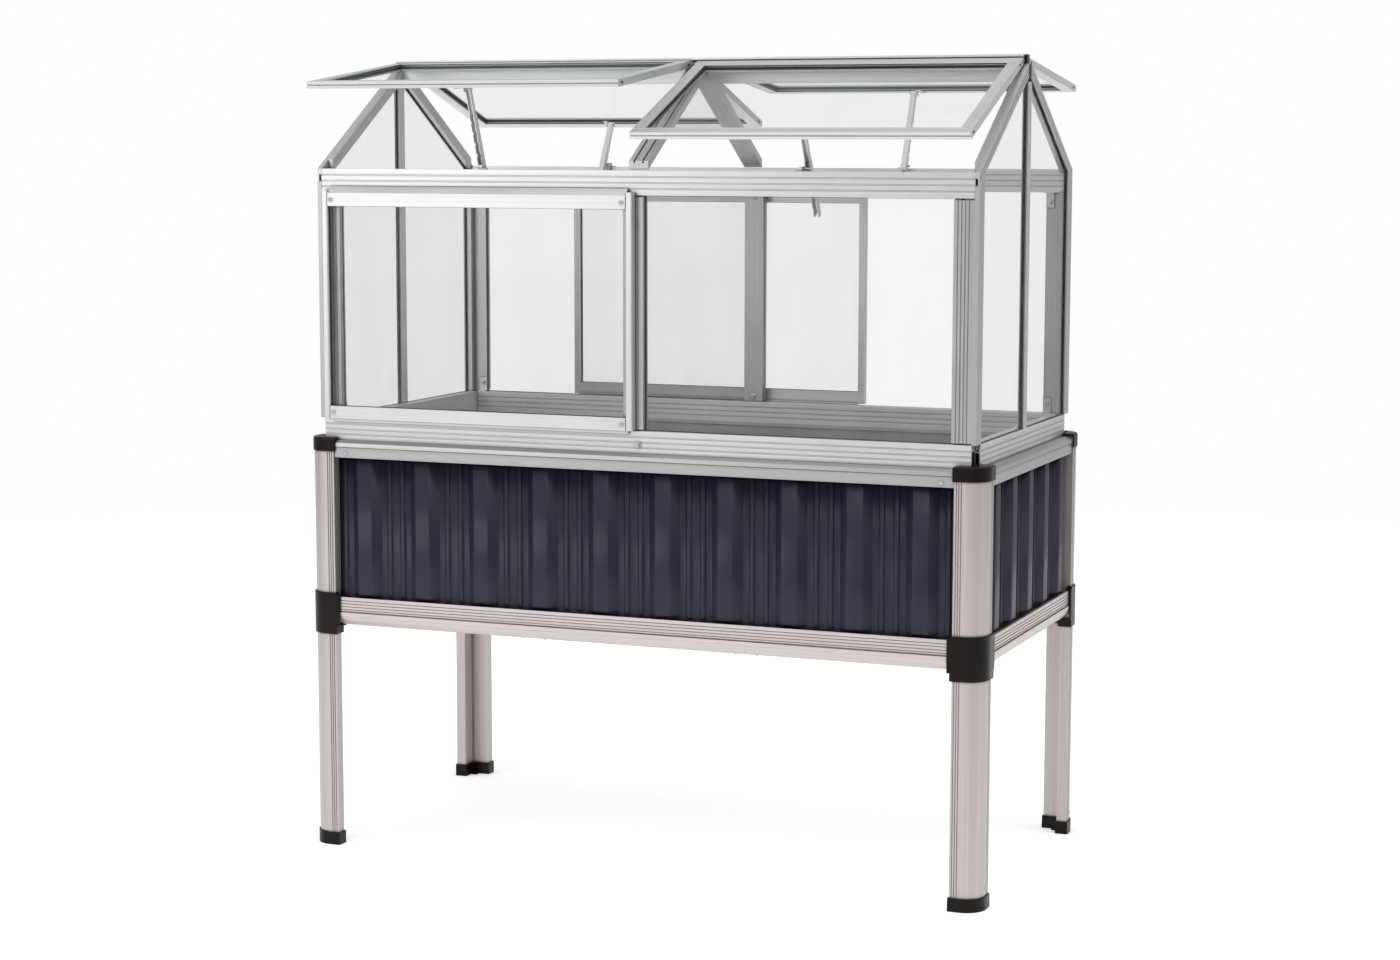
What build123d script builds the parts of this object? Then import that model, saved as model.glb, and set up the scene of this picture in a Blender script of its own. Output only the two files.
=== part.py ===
from build123d import *
from math import asin, atan2, cos, degrees, hypot, radians, sin, tan
import os

# A raised planter with a small glazed, gable-roofed growing house standing on it.
# Millimetres. X runs along the length, Y from front (-Y) to back (+Y), Z up.
# The origin lies on the floor, in the middle of the footprint.

# ---- overall sizes ----
planter_half_length = 600.0
planter_half_depth = 300.0
house_inset_ends = 27.0
house_inset_front = 14.0
top_rail_top = 706.0
top_rail_height = 29.0
bottom_rail_bottom = 387.0
bottom_rail_height = 49.0
eave_top = 1166.0
ridge_top = 1354.0

# ---- corner post extrusion (legs and upper posts) ----
post_width = 50.0
post_flange = 18.0
post_radius = 32.0
post_wall = 2.4
flute_width = 1.6
flute_depth = 1.0
flute_pitch = 4.0
flute_count = 3

# ---- plastic corner pieces ----
fit_gap = 0.3
sleeve_wall = 3.0
sleeve_below_rail = 16.0
sleeve_above_rail = 7.0
socket_length = 8.0
foot_height = 22.0
foot_floor = 5.0
foot_wall = 2.0
foot_tab = 14.0
foot_tab_height = 4.5
foot_hole_radius = 2.6
foot_hole_share = 0.62
cap_skirt = 19.0
cap_thick = 5.0
cap_round = 4.4
edge_round = 1.5

# ---- planter rails, sheets and floor ----
top_rail_depth = 38.0
bottom_rail_depth = 22.0
floor_lip = 12.0
floor_lip_thick = 3.0
sheet_thick = 0.8
panel_inset = 6.0
rib_depth = 12.0
front_rib_count = 10
side_rib_count = 5
rib_face_share = 0.24
rib_slope = 14.0
fine_rib_depth = 2.0
fine_rib_width = 5.0
panel_bite = 6.0
tray_thick = 1.2
tray_edge = 8.0
drain_radius = 4.0
drain_count = 6
bearer_width = 40.0
bearer_height = 9.0
bearer_wall = 2.0
bearer_place = 190.0
screw_head_radius = 3.5
screw_head_height = 2.0
screw_height = 36.0

# ---- house beams and posts ----
beam_depth = 24.0
beam_wall = 2.0
base_beam_height = 37.0
eave_beam_height = 40.0
track_wall = 2.0
track_width = 4.5
track_depth = 8.0
glass_groove_in = 9.0
gable_glass_in = 1.1
beam_flutes = (0.26, 0.5, 0.74)
beam_flute_width = 3.0
beam_flute_depth = 0.9
bar_flute_width = 1.8
bar_flute_depth = 0.8
corner_flute_pitch = 6.0
corner_flute_count = 4
corner_face = 33.0
corner_depth = 16.0
trim_proud = 8.0
trim_width = 28.0
glass_bite = 8.0
mullion_width = 35.0
mullion_depth = 20.0
gable_bar = 20.0
rafter_deep = 18.0
rafter_inside = 8.0
centre_rafter_width = 34.0
centre_rafter_deep = 12.0
glass_thick = 3.0
groove_slack = 0.4

# ---- ridge and roof vents ----
ridge_half_width = 6.0
ridge_deep = 44.0
ridge_flange = 16.0
ridge_flange_thick = 4.0
end_cap_thick = 4.0
hinge_offset = 12.0
hinge_drop = 10.0
hinge_bead = 3.0
hinge_neck = 2.0
hinge_gap = 0.4
hinge_curl = 2.1
curl_opening = 62.0
vent_eave_setback = 3.7
vent_thick = 12.0
vent_bar = 20.0
vent_gap = 10.0
vent_rest_gap = 0.5
vent_open_wide = 7.0
vent_open_front_right = 22.3
vent_open_back_left = 18.1

# ---- stays ----
stay_length = 148.0
stay_across = 9.0
stay_wall = 1.5
stay_narrow = 8.0
stay_wide = 12.0
stay_shoulder = 46.0
stay_notch_pitch = 19.0
stay_notch_depth = 3.0
stay_notch_width = 4.6
stay_pivot_from_edge = 33.0
stay_pivot_below = 11.0
pivot_radius = 2.0
pivot_gap = 0.1
cheek_thick = 2.0
cheek_gap = 0.5
hook_radius = 2.0
hook_gap = 0.4
hook_inside = 29.0
hook_above_eave = 4.0

# ---- sliding doors ----
door_end_gap = 7.0
door_lap = 5.0
door_shown_shift = -361.0
door_front = 16.0
door_clear = 1.5
door_stile = 12.0
door_rail = 20.0
door_lip_up = 13.0
door_lip_down = 5.0
run_gap = 0.3
hook_plate = 1.6
bridge_thick = 2.0

# ---- fasteners ----
bolt_head_radius = 4.2
bolt_head_height = 3.2
washer_radius = 5.5
washer_thick = 1.0
bracket_leg = 26.0
bracket_thick = 2.0
bracket_width = 14.0
bolt_from_end = 11.0

# ---- levels and places worked out from the sizes above ----
house_half_length = planter_half_length - house_inset_ends
house_half_depth = planter_half_depth - house_inset_front
door_length = house_half_length - door_end_gap + door_lap
rail_between_posts = 2 * (planter_half_length - post_width)
side_rail_between_posts = 2 * (planter_half_depth - post_width)
bottom_rail_top = bottom_rail_bottom + bottom_rail_height
top_rail_bottom = top_rail_top - top_rail_height
post_split = bottom_rail_bottom + bottom_rail_height / 2
base_beam_bottom = top_rail_top
base_beam_top = base_beam_bottom + base_beam_height
eave_beam_bottom = eave_top - eave_beam_height
hinge_height = ridge_top - hinge_drop
groove_width = glass_thick + 2 * groove_slack


def closed_roof_angle():
    """Slope at which a shut vent lies just above the outer top edge of the eave beam."""
    run = house_half_depth - hinge_offset
    drop = hinge_height - eave_top - vent_rest_gap
    reach = hypot(run, drop)
    return degrees(atan2(drop, run) - asin(vent_thick / 2 / reach))


roof_angle = closed_roof_angle()
eave_distance = hypot(house_half_depth - hinge_offset, hinge_height - eave_top)
vent_reach = round(eave_distance - vent_eave_setback, 1)
stay_pivot_along = vent_reach - stay_pivot_from_edge
rafter_top_below_hinge = vent_thick / 2 + vent_rest_gap


def solid_box(x0, x1, y0, y1, z0, z1):
    return Pos((x0 + x1) / 2, (y0 + y1) / 2, (z0 + z1) / 2) * Box(x1 - x0, y1 - y0, z1 - z0)


def patch(u0, u1, v0, v1):
    """A flat rectangle between two corners, for building sections."""
    return Pos((u0 + u1) / 2, (v0 + v1) / 2) * Rectangle(u1 - u0, v1 - v0)


def along_x(section, x0, x1):
    """Extrude a section drawn with (depth, height) from x0 to x1."""
    return extrude(Plane.YZ.offset(x0) * section, x1 - x0)


def along_z(section, z0, z1):
    return extrude(Plane.XY.offset(z0) * section, z1 - z0)


def flip_x(shape):
    return mirror(shape, about=Plane.YZ)


def flip_y(shape):
    return mirror(shape, about=Plane.XZ)


def to_corner(shape, side_x, side_y):
    """Mirror a shape made at the front left corner to another corner."""
    if side_x > 0:
        shape = flip_x(shape)
    if side_y > 0:
        shape = flip_y(shape)
    return shape


def half_turn(shape):
    return Rot(0, 0, 180) * shape


def write(name, shapes):
    """Write one node; a node with several like pieces is a group of separate solids."""
    if not isinstance(shapes, list):
        shapes = [shapes]
    solids = [solid for shape in shapes for solid in shape.solids()]
    piece = solids[0] if len(solids) == 1 else Compound(children=solids)
    export_step(piece, f"parts/{name}.step")


corners = {"front_left": (-1, -1), "front_right": (1, -1), "back_left": (-1, 1), "back_right": (1, 1)}


# ---- planter ----
def post_section(grow=0.0):
    """Rounded corner section with two flanges, its outer corner at (0, 0)."""
    low = -grow
    high = post_width + grow
    section = patch(low, high, low, high)
    outer = section.vertices().sort_by(lambda v: v.X + v.Y)[0]
    section = fillet(outer, post_radius + grow)
    return section - patch(post_flange + grow, high + 1, post_flange + grow, high + 1)


def flute_places():
    return [post_width - flute_pitch * (step + 1) for step in range(flute_count)]


def fluted_post_section():
    section = post_section()
    for place in flute_places():
        low = place - flute_width / 2
        high = place + flute_width / 2
        section -= patch(low, high, -1, flute_depth)
        section -= patch(-1, flute_depth, low, high)
    return section - post_section(-post_wall)


def at_planter_corner(section, z0, z1):
    return along_z(Pos(-planter_half_length, -planter_half_depth) * section, z0, z1)


def both_rail_ends(section, start, end):
    """Extrude a rail-shaped section along the front and the left rail, measured from the front left post."""
    front_start = -planter_half_length + post_width
    front = along_x(Pos(-planter_half_depth, 0) * section, front_start + start, front_start + end)
    side = along_x(Pos(-planter_half_length, 0) * section, -end, -start)
    return front + Pos(0, -planter_half_depth + post_width, 0) * (Rot(0, 0, -90) * side)


def make_leg():
    return at_planter_corner(fluted_post_section(), foot_floor, post_split - fit_gap / 2)


def make_upper_post():
    return at_planter_corner(fluted_post_section(), post_split + fit_gap / 2, top_rail_top - fit_gap)


def make_foot():
    """Cup foot that follows the leg, with a fixing tab on its inner side."""
    cup = at_planter_corner(post_section(fit_gap + foot_wall), 0, foot_height)
    tab_side = -planter_half_length + post_flange
    tab_front = -planter_half_depth + post_flange
    tab_end = tab_side + foot_tab
    tab = solid_box(tab_side, tab_end, tab_front, tab_front + foot_tab, 0, foot_tab_height)
    hole_x = tab_side + foot_tab * foot_hole_share
    hole_y = tab_front + foot_tab * foot_hole_share
    hole = Cylinder(foot_hole_radius, foot_tab_height + 2)
    cup = cup + tab - Pos(hole_x, hole_y, foot_tab_height / 2) * hole
    return cup - at_planter_corner(post_section(fit_gap), foot_floor, foot_height + 1)


def make_cap():
    """Rounded cap on the post top, cut away where the house stands."""
    skirt_bottom = top_rail_top - cap_skirt
    outer = at_planter_corner(post_section(fit_gap + foot_wall), skirt_bottom, top_rail_top + cap_thick)
    top_edges = outer.edges().filter_by_position(Axis.Z, top_rail_top + cap_thick - 0.1,
                                                 top_rail_top + cap_thick + 0.1)
    outer = fillet(top_edges, min(cap_round, cap_thick * 0.9))
    outer -= at_planter_corner(post_section(fit_gap), skirt_bottom - 1, top_rail_top)
    rail_end = patch(-fit_gap, top_rail_depth, skirt_bottom - 1, top_rail_top)
    outer -= both_rail_ends(rail_end, 0, foot_wall + 1)
    house_x = house_half_length + trim_proud + fit_gap
    house_y = house_half_depth + fit_gap
    return outer - solid_box(-house_x, 0, -house_y, 0, top_rail_top - fit_gap, ridge_top)


def panel_groove(low, high):
    return patch(panel_inset - 1, panel_inset + rib_depth + 1, low, high)


def bottom_rail_section():
    """Fluted upper face over a rounded lower nose, with a lip inside for the floor."""
    nose_top = bottom_rail_bottom + bottom_rail_height * 0.48
    nose_back = bottom_rail_depth * 0.6
    face = 1.5
    outline = Polyline((nose_back, bottom_rail_bottom), (bottom_rail_depth, bottom_rail_bottom),
                       (bottom_rail_depth, bottom_rail_top), (face, bottom_rail_top), (face, nose_top + 1.5),
                       (face + 1.5, nose_top + 1.5), (face + 1.5, nose_top), (face - 1.5, nose_top - 1))
    nose = TangentArc(outline @ 1, (nose_back, bottom_rail_bottom), tangent=(0, -1))
    section = make_face(Wire([*outline.edges(), nose]))
    flute_step = (bottom_rail_top - nose_top) / 5
    for step in range(1, 5):
        height = nose_top + 1.5 + flute_step * step - flute_step / 2
        section -= patch(0, face + flute_depth, height - flute_width / 2, height + flute_width / 2)
    lip = patch(bottom_rail_depth, bottom_rail_depth + floor_lip, bottom_rail_bottom,
                bottom_rail_bottom + floor_lip_thick)
    hollow = patch(face + 4, bottom_rail_depth - 2, bottom_rail_bottom + bottom_rail_height * 0.3,
                   bottom_rail_top - panel_bite - 4)
    return section + lip - hollow - panel_groove(bottom_rail_top - panel_bite, bottom_rail_top + 1)


def top_rail_section():
    """Bevelled top edge over a plain face; a groove beneath holds the sheet, the house stands on top."""
    face_top = top_rail_top - top_rail_height * 0.42
    outline = Polyline((2, top_rail_bottom), (panel_inset + rib_depth + 5, top_rail_bottom),
                       (panel_inset + rib_depth + 5, top_rail_top - 6), (top_rail_depth, top_rail_top - 6),
                       (top_rail_depth, top_rail_top), (11, top_rail_top), (1.5, top_rail_top - 4),
                       (0.5, face_top + 1.5), (2.5, face_top + 1.5), (2.5, face_top), (2, face_top),
                       close=True)
    section = make_face(outline)
    groove = panel_groove(top_rail_bottom - 1, top_rail_bottom + panel_bite)
    hollow = patch(6, panel_inset + rib_depth + 2, top_rail_bottom + panel_bite + 2, top_rail_top - 7)
    return section - groove - hollow


def four_rails(section, level_name):
    """Front, back, left and right rails between the posts, from one section."""
    half = rail_between_posts / 2 - fit_gap
    side_half = side_rail_between_posts / 2 - fit_gap
    front = along_x(Pos(-planter_half_depth, 0) * section, -half, half)
    side = along_x(Pos(-planter_half_length, 0) * section, -side_half, side_half)
    write(f"{level_name}_front", front)
    write(f"{level_name}_back", half_turn(front))
    write(f"{level_name}_right", Rot(0, 0, 90) * side)
    write(f"{level_name}_left", Rot(0, 0, -90) * side)


def make_connector():
    """Moulded sleeve that joins leg, upper post and both bottom rails."""
    low = bottom_rail_bottom - sleeve_below_rail
    high = bottom_rail_top + sleeve_above_rail
    sleeve = at_planter_corner(post_section(fit_gap + sleeve_wall), low, high)
    rims = sleeve.edges().filter_by_position(Axis.Z, high - 0.1, high + 0.1)
    rims += sleeve.edges().filter_by_position(Axis.Z, low - 0.1, low + 0.1)
    sleeve = fillet(rims, edge_round)
    socket = patch(-sleeve_wall, bottom_rail_depth + sleeve_wall - fit_gap,
                   bottom_rail_bottom - sleeve_wall, bottom_rail_top + sleeve_wall)
    sleeve += both_rail_ends(socket, 0, socket_length)
    room = patch(-fit_gap, bottom_rail_depth + fit_gap, bottom_rail_bottom - fit_gap,
                 bottom_rail_top + fit_gap)
    room += patch(0, bottom_rail_depth + floor_lip + 5, bottom_rail_bottom - fit_gap,
                  bottom_rail_bottom + floor_lip_thick + tray_edge + 3)
    panel_back = panel_inset + rib_depth + sheet_thick
    room += patch(panel_inset - fit_gap, panel_back + fit_gap, bottom_rail_top, high + 1)
    sleeve -= both_rail_ends(room, 0, socket_length + 1)
    return sleeve - at_planter_corner(post_section(fit_gap), low - 1, high + 1)


def rib_outline(length, count):
    """One side of the ribbed sheet as (along, depth) points, raised ribs outward at depth 0."""
    pitch = length / count
    face = pitch * rib_face_share
    points = []
    for index in range(count):
        start = -length / 2 + index * pitch
        valley = (pitch - face - 2 * rib_slope) / 2
        fine = valley * 0.5 - fine_rib_width / 2
        raised = rib_depth - fine_rib_depth
        points += [(start, rib_depth)]
        points += [(start + fine, rib_depth), (start + fine + 1, raised),
                   (start + fine + fine_rib_width - 1, raised), (start + fine + fine_rib_width, rib_depth)]
        points += [(start + valley, rib_depth), (start + valley + rib_slope, 0),
                   (start + valley + rib_slope + face, 0), (start + valley + 2 * rib_slope + face, rib_depth)]
        late = start + pitch - valley + fine
        points += [(late, rib_depth), (late + 1, raised), (late + fine_rib_width - 1, raised),
                   (late + fine_rib_width, rib_depth)]
    return points + [(length / 2, rib_depth)]


def make_panel(length, count, offset):
    outer = rib_outline(length, count)
    inner = [(along, depth + sheet_thick) for along, depth in reversed(outer)]
    section = make_face(Polyline(*outer, *inner, close=True))
    bottom = bottom_rail_top - panel_bite + fit_gap
    top = top_rail_bottom + panel_bite - fit_gap
    return along_z(Pos(0, -offset + panel_inset) * section, bottom, top)


def make_tray():
    """Floor sheet with a turned-up edge and drain holes, resting on the rail lips."""
    half_x = planter_half_length - bottom_rail_depth - 2
    half_y = planter_half_depth - bottom_rail_depth - 2
    base = bottom_rail_bottom + floor_lip_thick
    tray = solid_box(-half_x, half_x, -half_y, half_y, base, base + tray_edge)
    tray -= solid_box(-half_x + tray_thick, half_x - tray_thick, -half_y + tray_thick, half_y - tray_thick,
                      base + tray_thick, base + tray_edge + 1)
    step = 2 * half_x / drain_count
    for index in range(drain_count):
        for side in (-1, 1):
            place = Pos(-half_x + step * (index + 0.5), side * half_y * 0.45, base)
            tray -= place * Cylinder(drain_radius, 4 * tray_thick)
    return tray


def make_bearers():
    top = bottom_rail_bottom + floor_lip_thick
    half = planter_half_depth - bottom_rail_depth - floor_lip - fit_gap
    bars = []
    for side in (-1, 1):
        low = side * bearer_place - bearer_width / 2
        bar = solid_box(low, low + bearer_width, -half, half, top - bearer_height, top)
        bar -= solid_box(low + bearer_wall, low + bearer_width - bearer_wall, -half - 1, half + 1,
                         top - bearer_height - 1, top - bearer_wall)
        bars.append(bar)
    return bars


def make_planter_screws():
    """Pan-head screws: one through each leg above its foot, one at each top rail end."""
    screws = []
    for side_x, side_y in corners.values():
        flat = planter_half_depth - post_radius - 4
        leg_screw = Pos(side_x * (planter_half_length + screw_head_height / 2), side_y * flat, screw_height)
        screws.append(leg_screw * Rot(0, 90, 0) * Cylinder(screw_head_radius, screw_head_height))
        rail_x = side_x * (planter_half_length - post_width - 22)
        rail_y = side_y * (planter_half_depth - 2)
        height = top_rail_bottom + top_rail_height * 0.24
        rail_screw = Pos(rail_x, rail_y + side_y * screw_head_height / 2, height)
        screws.append(rail_screw * Rot(90, 0, 0) * Cylinder(screw_head_radius, screw_head_height))
    return screws


def build_planter():
    for name, (side_x, side_y) in corners.items():
        write(f"leg_{name}", to_corner(make_leg(), side_x, side_y))
    write("upper_posts", [to_corner(make_upper_post(), *signs) for signs in corners.values()])
    write("feet", [to_corner(make_foot(), *signs) for signs in corners.values()])
    write("post_caps", [to_corner(make_cap(), *signs) for signs in corners.values()])
    write("corner_connectors", [to_corner(make_connector(), *signs) for signs in corners.values()])
    four_rails(bottom_rail_section(), "bottom_rail")
    four_rails(top_rail_section(), "top_rail")
    front = make_panel(rail_between_posts - 2 * fit_gap, front_rib_count, planter_half_depth)
    side = make_panel(side_rail_between_posts - 2 * fit_gap, side_rib_count, planter_half_length)
    write("panel_front", front)
    write("panel_back", half_turn(front))
    write("panel_right", Rot(0, 0, 90) * side)
    write("panel_left", Rot(0, 0, -90) * side)
    write("floor_tray", make_tray())
    write("floor_bearers", make_bearers())
    write("planter_screws", make_planter_screws())


# ---- house frame ----
def beam_flute_cuts(low, high, face):
    """Broad shallow flutes along one upright face of a beam."""
    cuts = Sketch()
    for share in beam_flutes:
        height = low + (high - low) * share
        cuts += patch(face - beam_flute_depth, face + beam_flute_depth, height - beam_flute_width / 2,
                      height + beam_flute_width / 2)
    return cuts


def beam_section(low, high, opening_up):
    """Hollow beam with a door track and a glass groove in its upper or lower face."""
    section = patch(0, beam_depth, low, high)
    edge = high if opening_up else low
    inward = -1 if opening_up else 1
    end = edge + inward * track_depth
    v0, v1 = sorted((edge - inward, end))
    section -= patch(track_wall, track_wall + track_width, v0, v1)
    section -= patch(glass_groove_in, glass_groove_in + groove_width, v0, v1)
    v0, v1 = sorted((end + inward * beam_wall, edge + inward * (high - low - beam_wall)))
    section -= patch(beam_wall, beam_depth - beam_wall, v0, v1)
    return section - beam_flute_cuts(low, high, 0) - beam_flute_cuts(low, high, beam_depth)


def track_relief():
    """Room for the door hooks to pass the ends of the uprights."""
    depth = track_wall + track_width + 0.8
    tall = bridge_thick + 3 * run_gap
    low = patch(-1, depth, base_beam_top - 1, base_beam_top + tall)
    high = patch(-1, depth, eave_beam_bottom - tall, eave_beam_bottom + 1)
    return along_x(Pos(-house_half_depth, 0) * (low + high), -house_half_length, house_half_length)


def make_front_beams():
    base = beam_section(base_beam_bottom, base_beam_top, True)
    eave = beam_section(eave_beam_bottom, eave_top, False)
    place = Pos(-house_half_depth, 0)
    return (along_x(place * base, -house_half_length, house_half_length),
            along_x(place * eave, -house_half_length, house_half_length))


def make_side_base_beam():
    """Left base beam, between the front and back beams, with one groove for the gable glass."""
    half = house_half_depth - beam_depth - fit_gap
    section = patch(0, beam_depth, base_beam_bottom, base_beam_top)
    groove_start = trim_proud - gable_glass_in - groove_width
    groove_bottom = base_beam_top - track_depth - 4
    section -= patch(groove_start, groove_start + groove_width, groove_bottom, base_beam_top + 1)
    section -= patch(beam_wall, beam_depth - beam_wall, base_beam_bottom + beam_wall,
                     groove_bottom - beam_wall)
    section -= beam_flute_cuts(base_beam_bottom, base_beam_top, 0)
    bar = along_x(Pos(-house_half_length - trim_proud, 0) * section, -half, half)
    return Rot(0, 0, -90) * bar


def roof_line(away, below):
    """Height, at a distance from the middle, of a line this far below the plane of the shut vents."""
    slope = radians(roof_angle)
    return hinge_height - below / cos(slope) - (away - hinge_offset) * tan(slope)


def roof_band(outer, inner, top, bottom):
    """Side view of a strip parallel to the roof slope, between two depths below the hinge plane."""
    return make_face(Polyline((-outer, roof_line(outer, top)), (-inner, roof_line(inner, top)),
                              (-inner, roof_line(inner, bottom)), (-outer, roof_line(outer, bottom)),
                              close=True))


def make_corner_post():
    """Front left corner post: a glazed front face and a side trim that carries the gable glass."""
    face = patch(0, corner_face, 0, corner_depth) + patch(-trim_proud, rafter_inside, 0, trim_width)
    groove_start = -gable_glass_in - groove_width
    face -= patch(groove_start, groove_start + groove_width, trim_width - glass_bite - 4, trim_width + 1)
    face -= patch(corner_face - glass_bite, corner_face + 1, glass_groove_in, glass_groove_in + groove_width)
    face -= patch(beam_wall + 6, corner_face - glass_bite - beam_wall, beam_wall, corner_depth - beam_wall)
    for step in range(corner_flute_count):
        across = rafter_inside + corner_flute_pitch * step
        face -= patch(across - bar_flute_width / 2, across + bar_flute_width / 2, -1, bar_flute_depth)
    at = Pos(-house_half_length, -house_half_depth)
    post = along_z(at * face, base_beam_top, eave_beam_bottom) - track_relief()
    trim = patch(-trim_proud, -fit_gap, 0, trim_width)
    trim -= patch(groove_start, groove_start + groove_width, trim_width - glass_bite - 4, trim_width + 1)
    upper = along_z(at * trim, eave_beam_bottom - 1, eave_top)
    below = rafter_top_below_hinge + rafter_deep + fit_gap
    cutter = roof_band(house_half_depth + 5, house_half_depth - trim_width - 5, -ridge_top, below)
    upper -= along_x(cutter, -house_half_length - trim_proud - 5, -house_half_length + 5)
    return post + upper


def make_gable_rafter():
    """Front left gable rafter from the corner post to the ridge."""
    top = rafter_top_below_hinge
    bottom = top + rafter_deep
    outer = house_half_depth
    inner = ridge_half_width + 2 + fit_gap
    side = roof_band(outer, inner, top, bottom)
    x_out = -house_half_length - trim_proud
    rafter = along_x(side, x_out, -house_half_length + rafter_inside)
    eave_room = solid_box(-house_half_length - fit_gap, -house_half_length + rafter_inside + 1, -outer - 1,
                          -outer + beam_depth + fit_gap, eave_beam_bottom, ridge_top)
    groove_top = top + rafter_deep - glass_bite - 2
    groove = roof_band(outer + 1, inner - 1, groove_top, bottom + 2)
    groove_x = -house_half_length - gable_glass_in - groove_width
    slot = along_x(groove, groove_x, groove_x + groove_width)
    for share in (1 / 3, 2 / 3):
        middle = top + rafter_deep * share
        flute = roof_band(outer + 1, inner - 1, middle - bar_flute_width / 2, middle + bar_flute_width / 2)
        rafter -= along_x(flute, x_out - 1, x_out + bar_flute_depth)
    return rafter - eave_room - slot


def make_gable_mullion():
    half = gable_bar / 2
    section = patch(-trim_proud, 2, -half, half)
    groove_start = -gable_glass_in - groove_width
    for side in (-1, 1):
        v0, v1 = sorted((side * (half - glass_bite + 2), side * (half + 1)))
        section -= patch(groove_start, groove_start + groove_width, v0, v1)
        middle = side * half / 2
        section -= patch(-trim_proud - 1, -trim_proud + bar_flute_depth, middle - bar_flute_width / 2,
                         middle + bar_flute_width / 2)
    top = ridge_top - ridge_deep - fit_gap
    return along_z(Pos(-house_half_length, 0) * section, base_beam_top, top)


def make_gable_pane():
    """Front half of the left gable glass: upright edges, sloping top."""
    outer = house_half_depth - trim_width + glass_bite
    inner = gable_bar / 2 - glass_bite + 3
    below = rafter_top_below_hinge + rafter_deep - glass_bite
    bottom = base_beam_top - track_depth
    top_inner = min(roof_line(inner, below), ridge_top - ridge_deep - 1)
    flat_start = hinge_offset + (roof_line(hinge_offset, below) - top_inner) / tan(radians(roof_angle))
    face = make_face(Polyline((-outer, bottom), (-inner, bottom), (-inner, top_inner),
                              (-flat_start, top_inner), (-outer, roof_line(outer, below)), close=True))
    start = -house_half_length - gable_glass_in - groove_slack - glass_thick
    return along_x(face, start, start + glass_thick)


def make_centre_rafter():
    """Front centre rafter under the meeting edges of the two front vents."""
    top = rafter_top_below_hinge
    bottom = top + centre_rafter_deep
    outer = house_half_depth - beam_depth - fit_gap
    inner = ridge_half_width + fit_gap
    side = roof_band(outer, inner, top, bottom)
    half = centre_rafter_width / 2
    rafter = along_x(side, -half, half)
    groove = roof_band(outer + 1, inner - 1, top, top + 3)
    for side_x in (-1, 1):
        rafter -= along_x(groove, side_x * half * 0.45 - 1.5, side_x * half * 0.45 + 1.5)
    return rafter


def make_mullion():
    """Front centre mullion, grooved on both edges for the fixed pane."""
    half = mullion_width / 2
    section = patch(-half, half, 0, mullion_depth)
    section -= patch(-half + glass_bite + 2, half - glass_bite - 2, beam_wall, mullion_depth - beam_wall)
    for side in (-1, 1):
        u0, u1 = sorted((side * (half - glass_bite), side * (half + 1)))
        section -= patch(u0, u1, glass_groove_in, glass_groove_in + groove_width)
        section -= patch(side * half * 0.5 - 0.8, side * half * 0.5 + 0.8, -1, 0.8)
    bar = along_z(Pos(0, -house_half_depth) * section, base_beam_top, eave_beam_bottom)
    return bar - track_relief()


def make_fixed_pane():
    """Fixed pane in the front right bay."""
    x0 = mullion_width / 2 - glass_bite + 1
    x1 = house_half_length - corner_face + glass_bite - 1
    y0 = -house_half_depth + glass_groove_in + groove_slack
    bite = track_depth - 1
    return solid_box(x0, x1, y0, y0 + glass_thick, base_beam_top - bite, eave_beam_bottom + bite)


def make_ridge():
    """Upright ridge section with a flat crown and a round hinge bead on each side."""
    section = patch(-ridge_half_width, ridge_half_width, ridge_top - ridge_deep, ridge_top)
    inside = ridge_half_width - beam_wall
    section -= patch(-inside, inside, ridge_top - ridge_deep + beam_wall,
                     hinge_height - hinge_bead - beam_wall)
    section += patch(-ridge_flange, ridge_flange, ridge_top - ridge_flange_thick, ridge_top)
    for side in (-1, 1):
        u0, u1 = sorted((side * (ridge_half_width - 1), side * hinge_offset))
        section += patch(u0, u1, hinge_height - hinge_neck / 2, hinge_height + hinge_neck / 2)
        section += Pos(side * hinge_offset, hinge_height) * Circle(hinge_bead)
    return along_x(section, -house_half_length, house_half_length)


def make_end_caps():
    """Closing caps on the ridge ends, and plugs in the open ends of the front and back base beams."""
    caps = []
    low = ridge_top - ridge_deep
    profile = patch(-ridge_half_width - 2, ridge_half_width + 2, low, ridge_top)
    profile = fillet(profile.vertices(), 3)
    cap = along_x(profile, house_half_length, house_half_length + end_cap_thick)
    caps += [cap, flip_x(cap)]
    inset = beam_wall + fit_gap
    plug = patch(inset, beam_depth - inset, base_beam_bottom + inset, base_beam_top - track_depth - inset)
    plug = along_x(Pos(-house_half_depth, 0) * plug, house_half_length - 12, house_half_length - 0.5)
    for side_x, side_y in corners.values():
        caps.append(to_corner(flip_x(plug), side_x, side_y))
    return caps


def bolt(x, y, z, turn):
    """Washer and hex head; turn lays it on a face."""
    head = Pos(0, 0, washer_thick) * extrude(RegularPolygon(bolt_head_radius, 6), bolt_head_height)
    washer = Pos(0, 0, washer_thick / 2) * Cylinder(washer_radius, washer_thick)
    return Pos(x, y, z) * (turn * (washer + head))


def make_brackets():
    """Angle brackets inside the house corners, at the base and at the eave."""
    inner_y = -house_half_depth + beam_depth
    post_back = -house_half_depth + corner_depth
    inner_x = -house_half_length + corner_face
    brackets = []
    for level, step in ((base_beam_top, 1), (eave_beam_bottom, -1)):
        z0, z1 = sorted((level, level + step * bracket_leg))
        upright = solid_box(inner_x - bracket_width, inner_x, post_back, post_back + bracket_thick, z0, z1)
        z2, z3 = sorted((level, level + step * bracket_thick))
        foot = solid_box(inner_x - bracket_width, inner_x, post_back, inner_y, z2, z3)
        brackets.append(upright + foot)
    return [to_corner(item, *signs) for signs in corners.values() for item in brackets]


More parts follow.
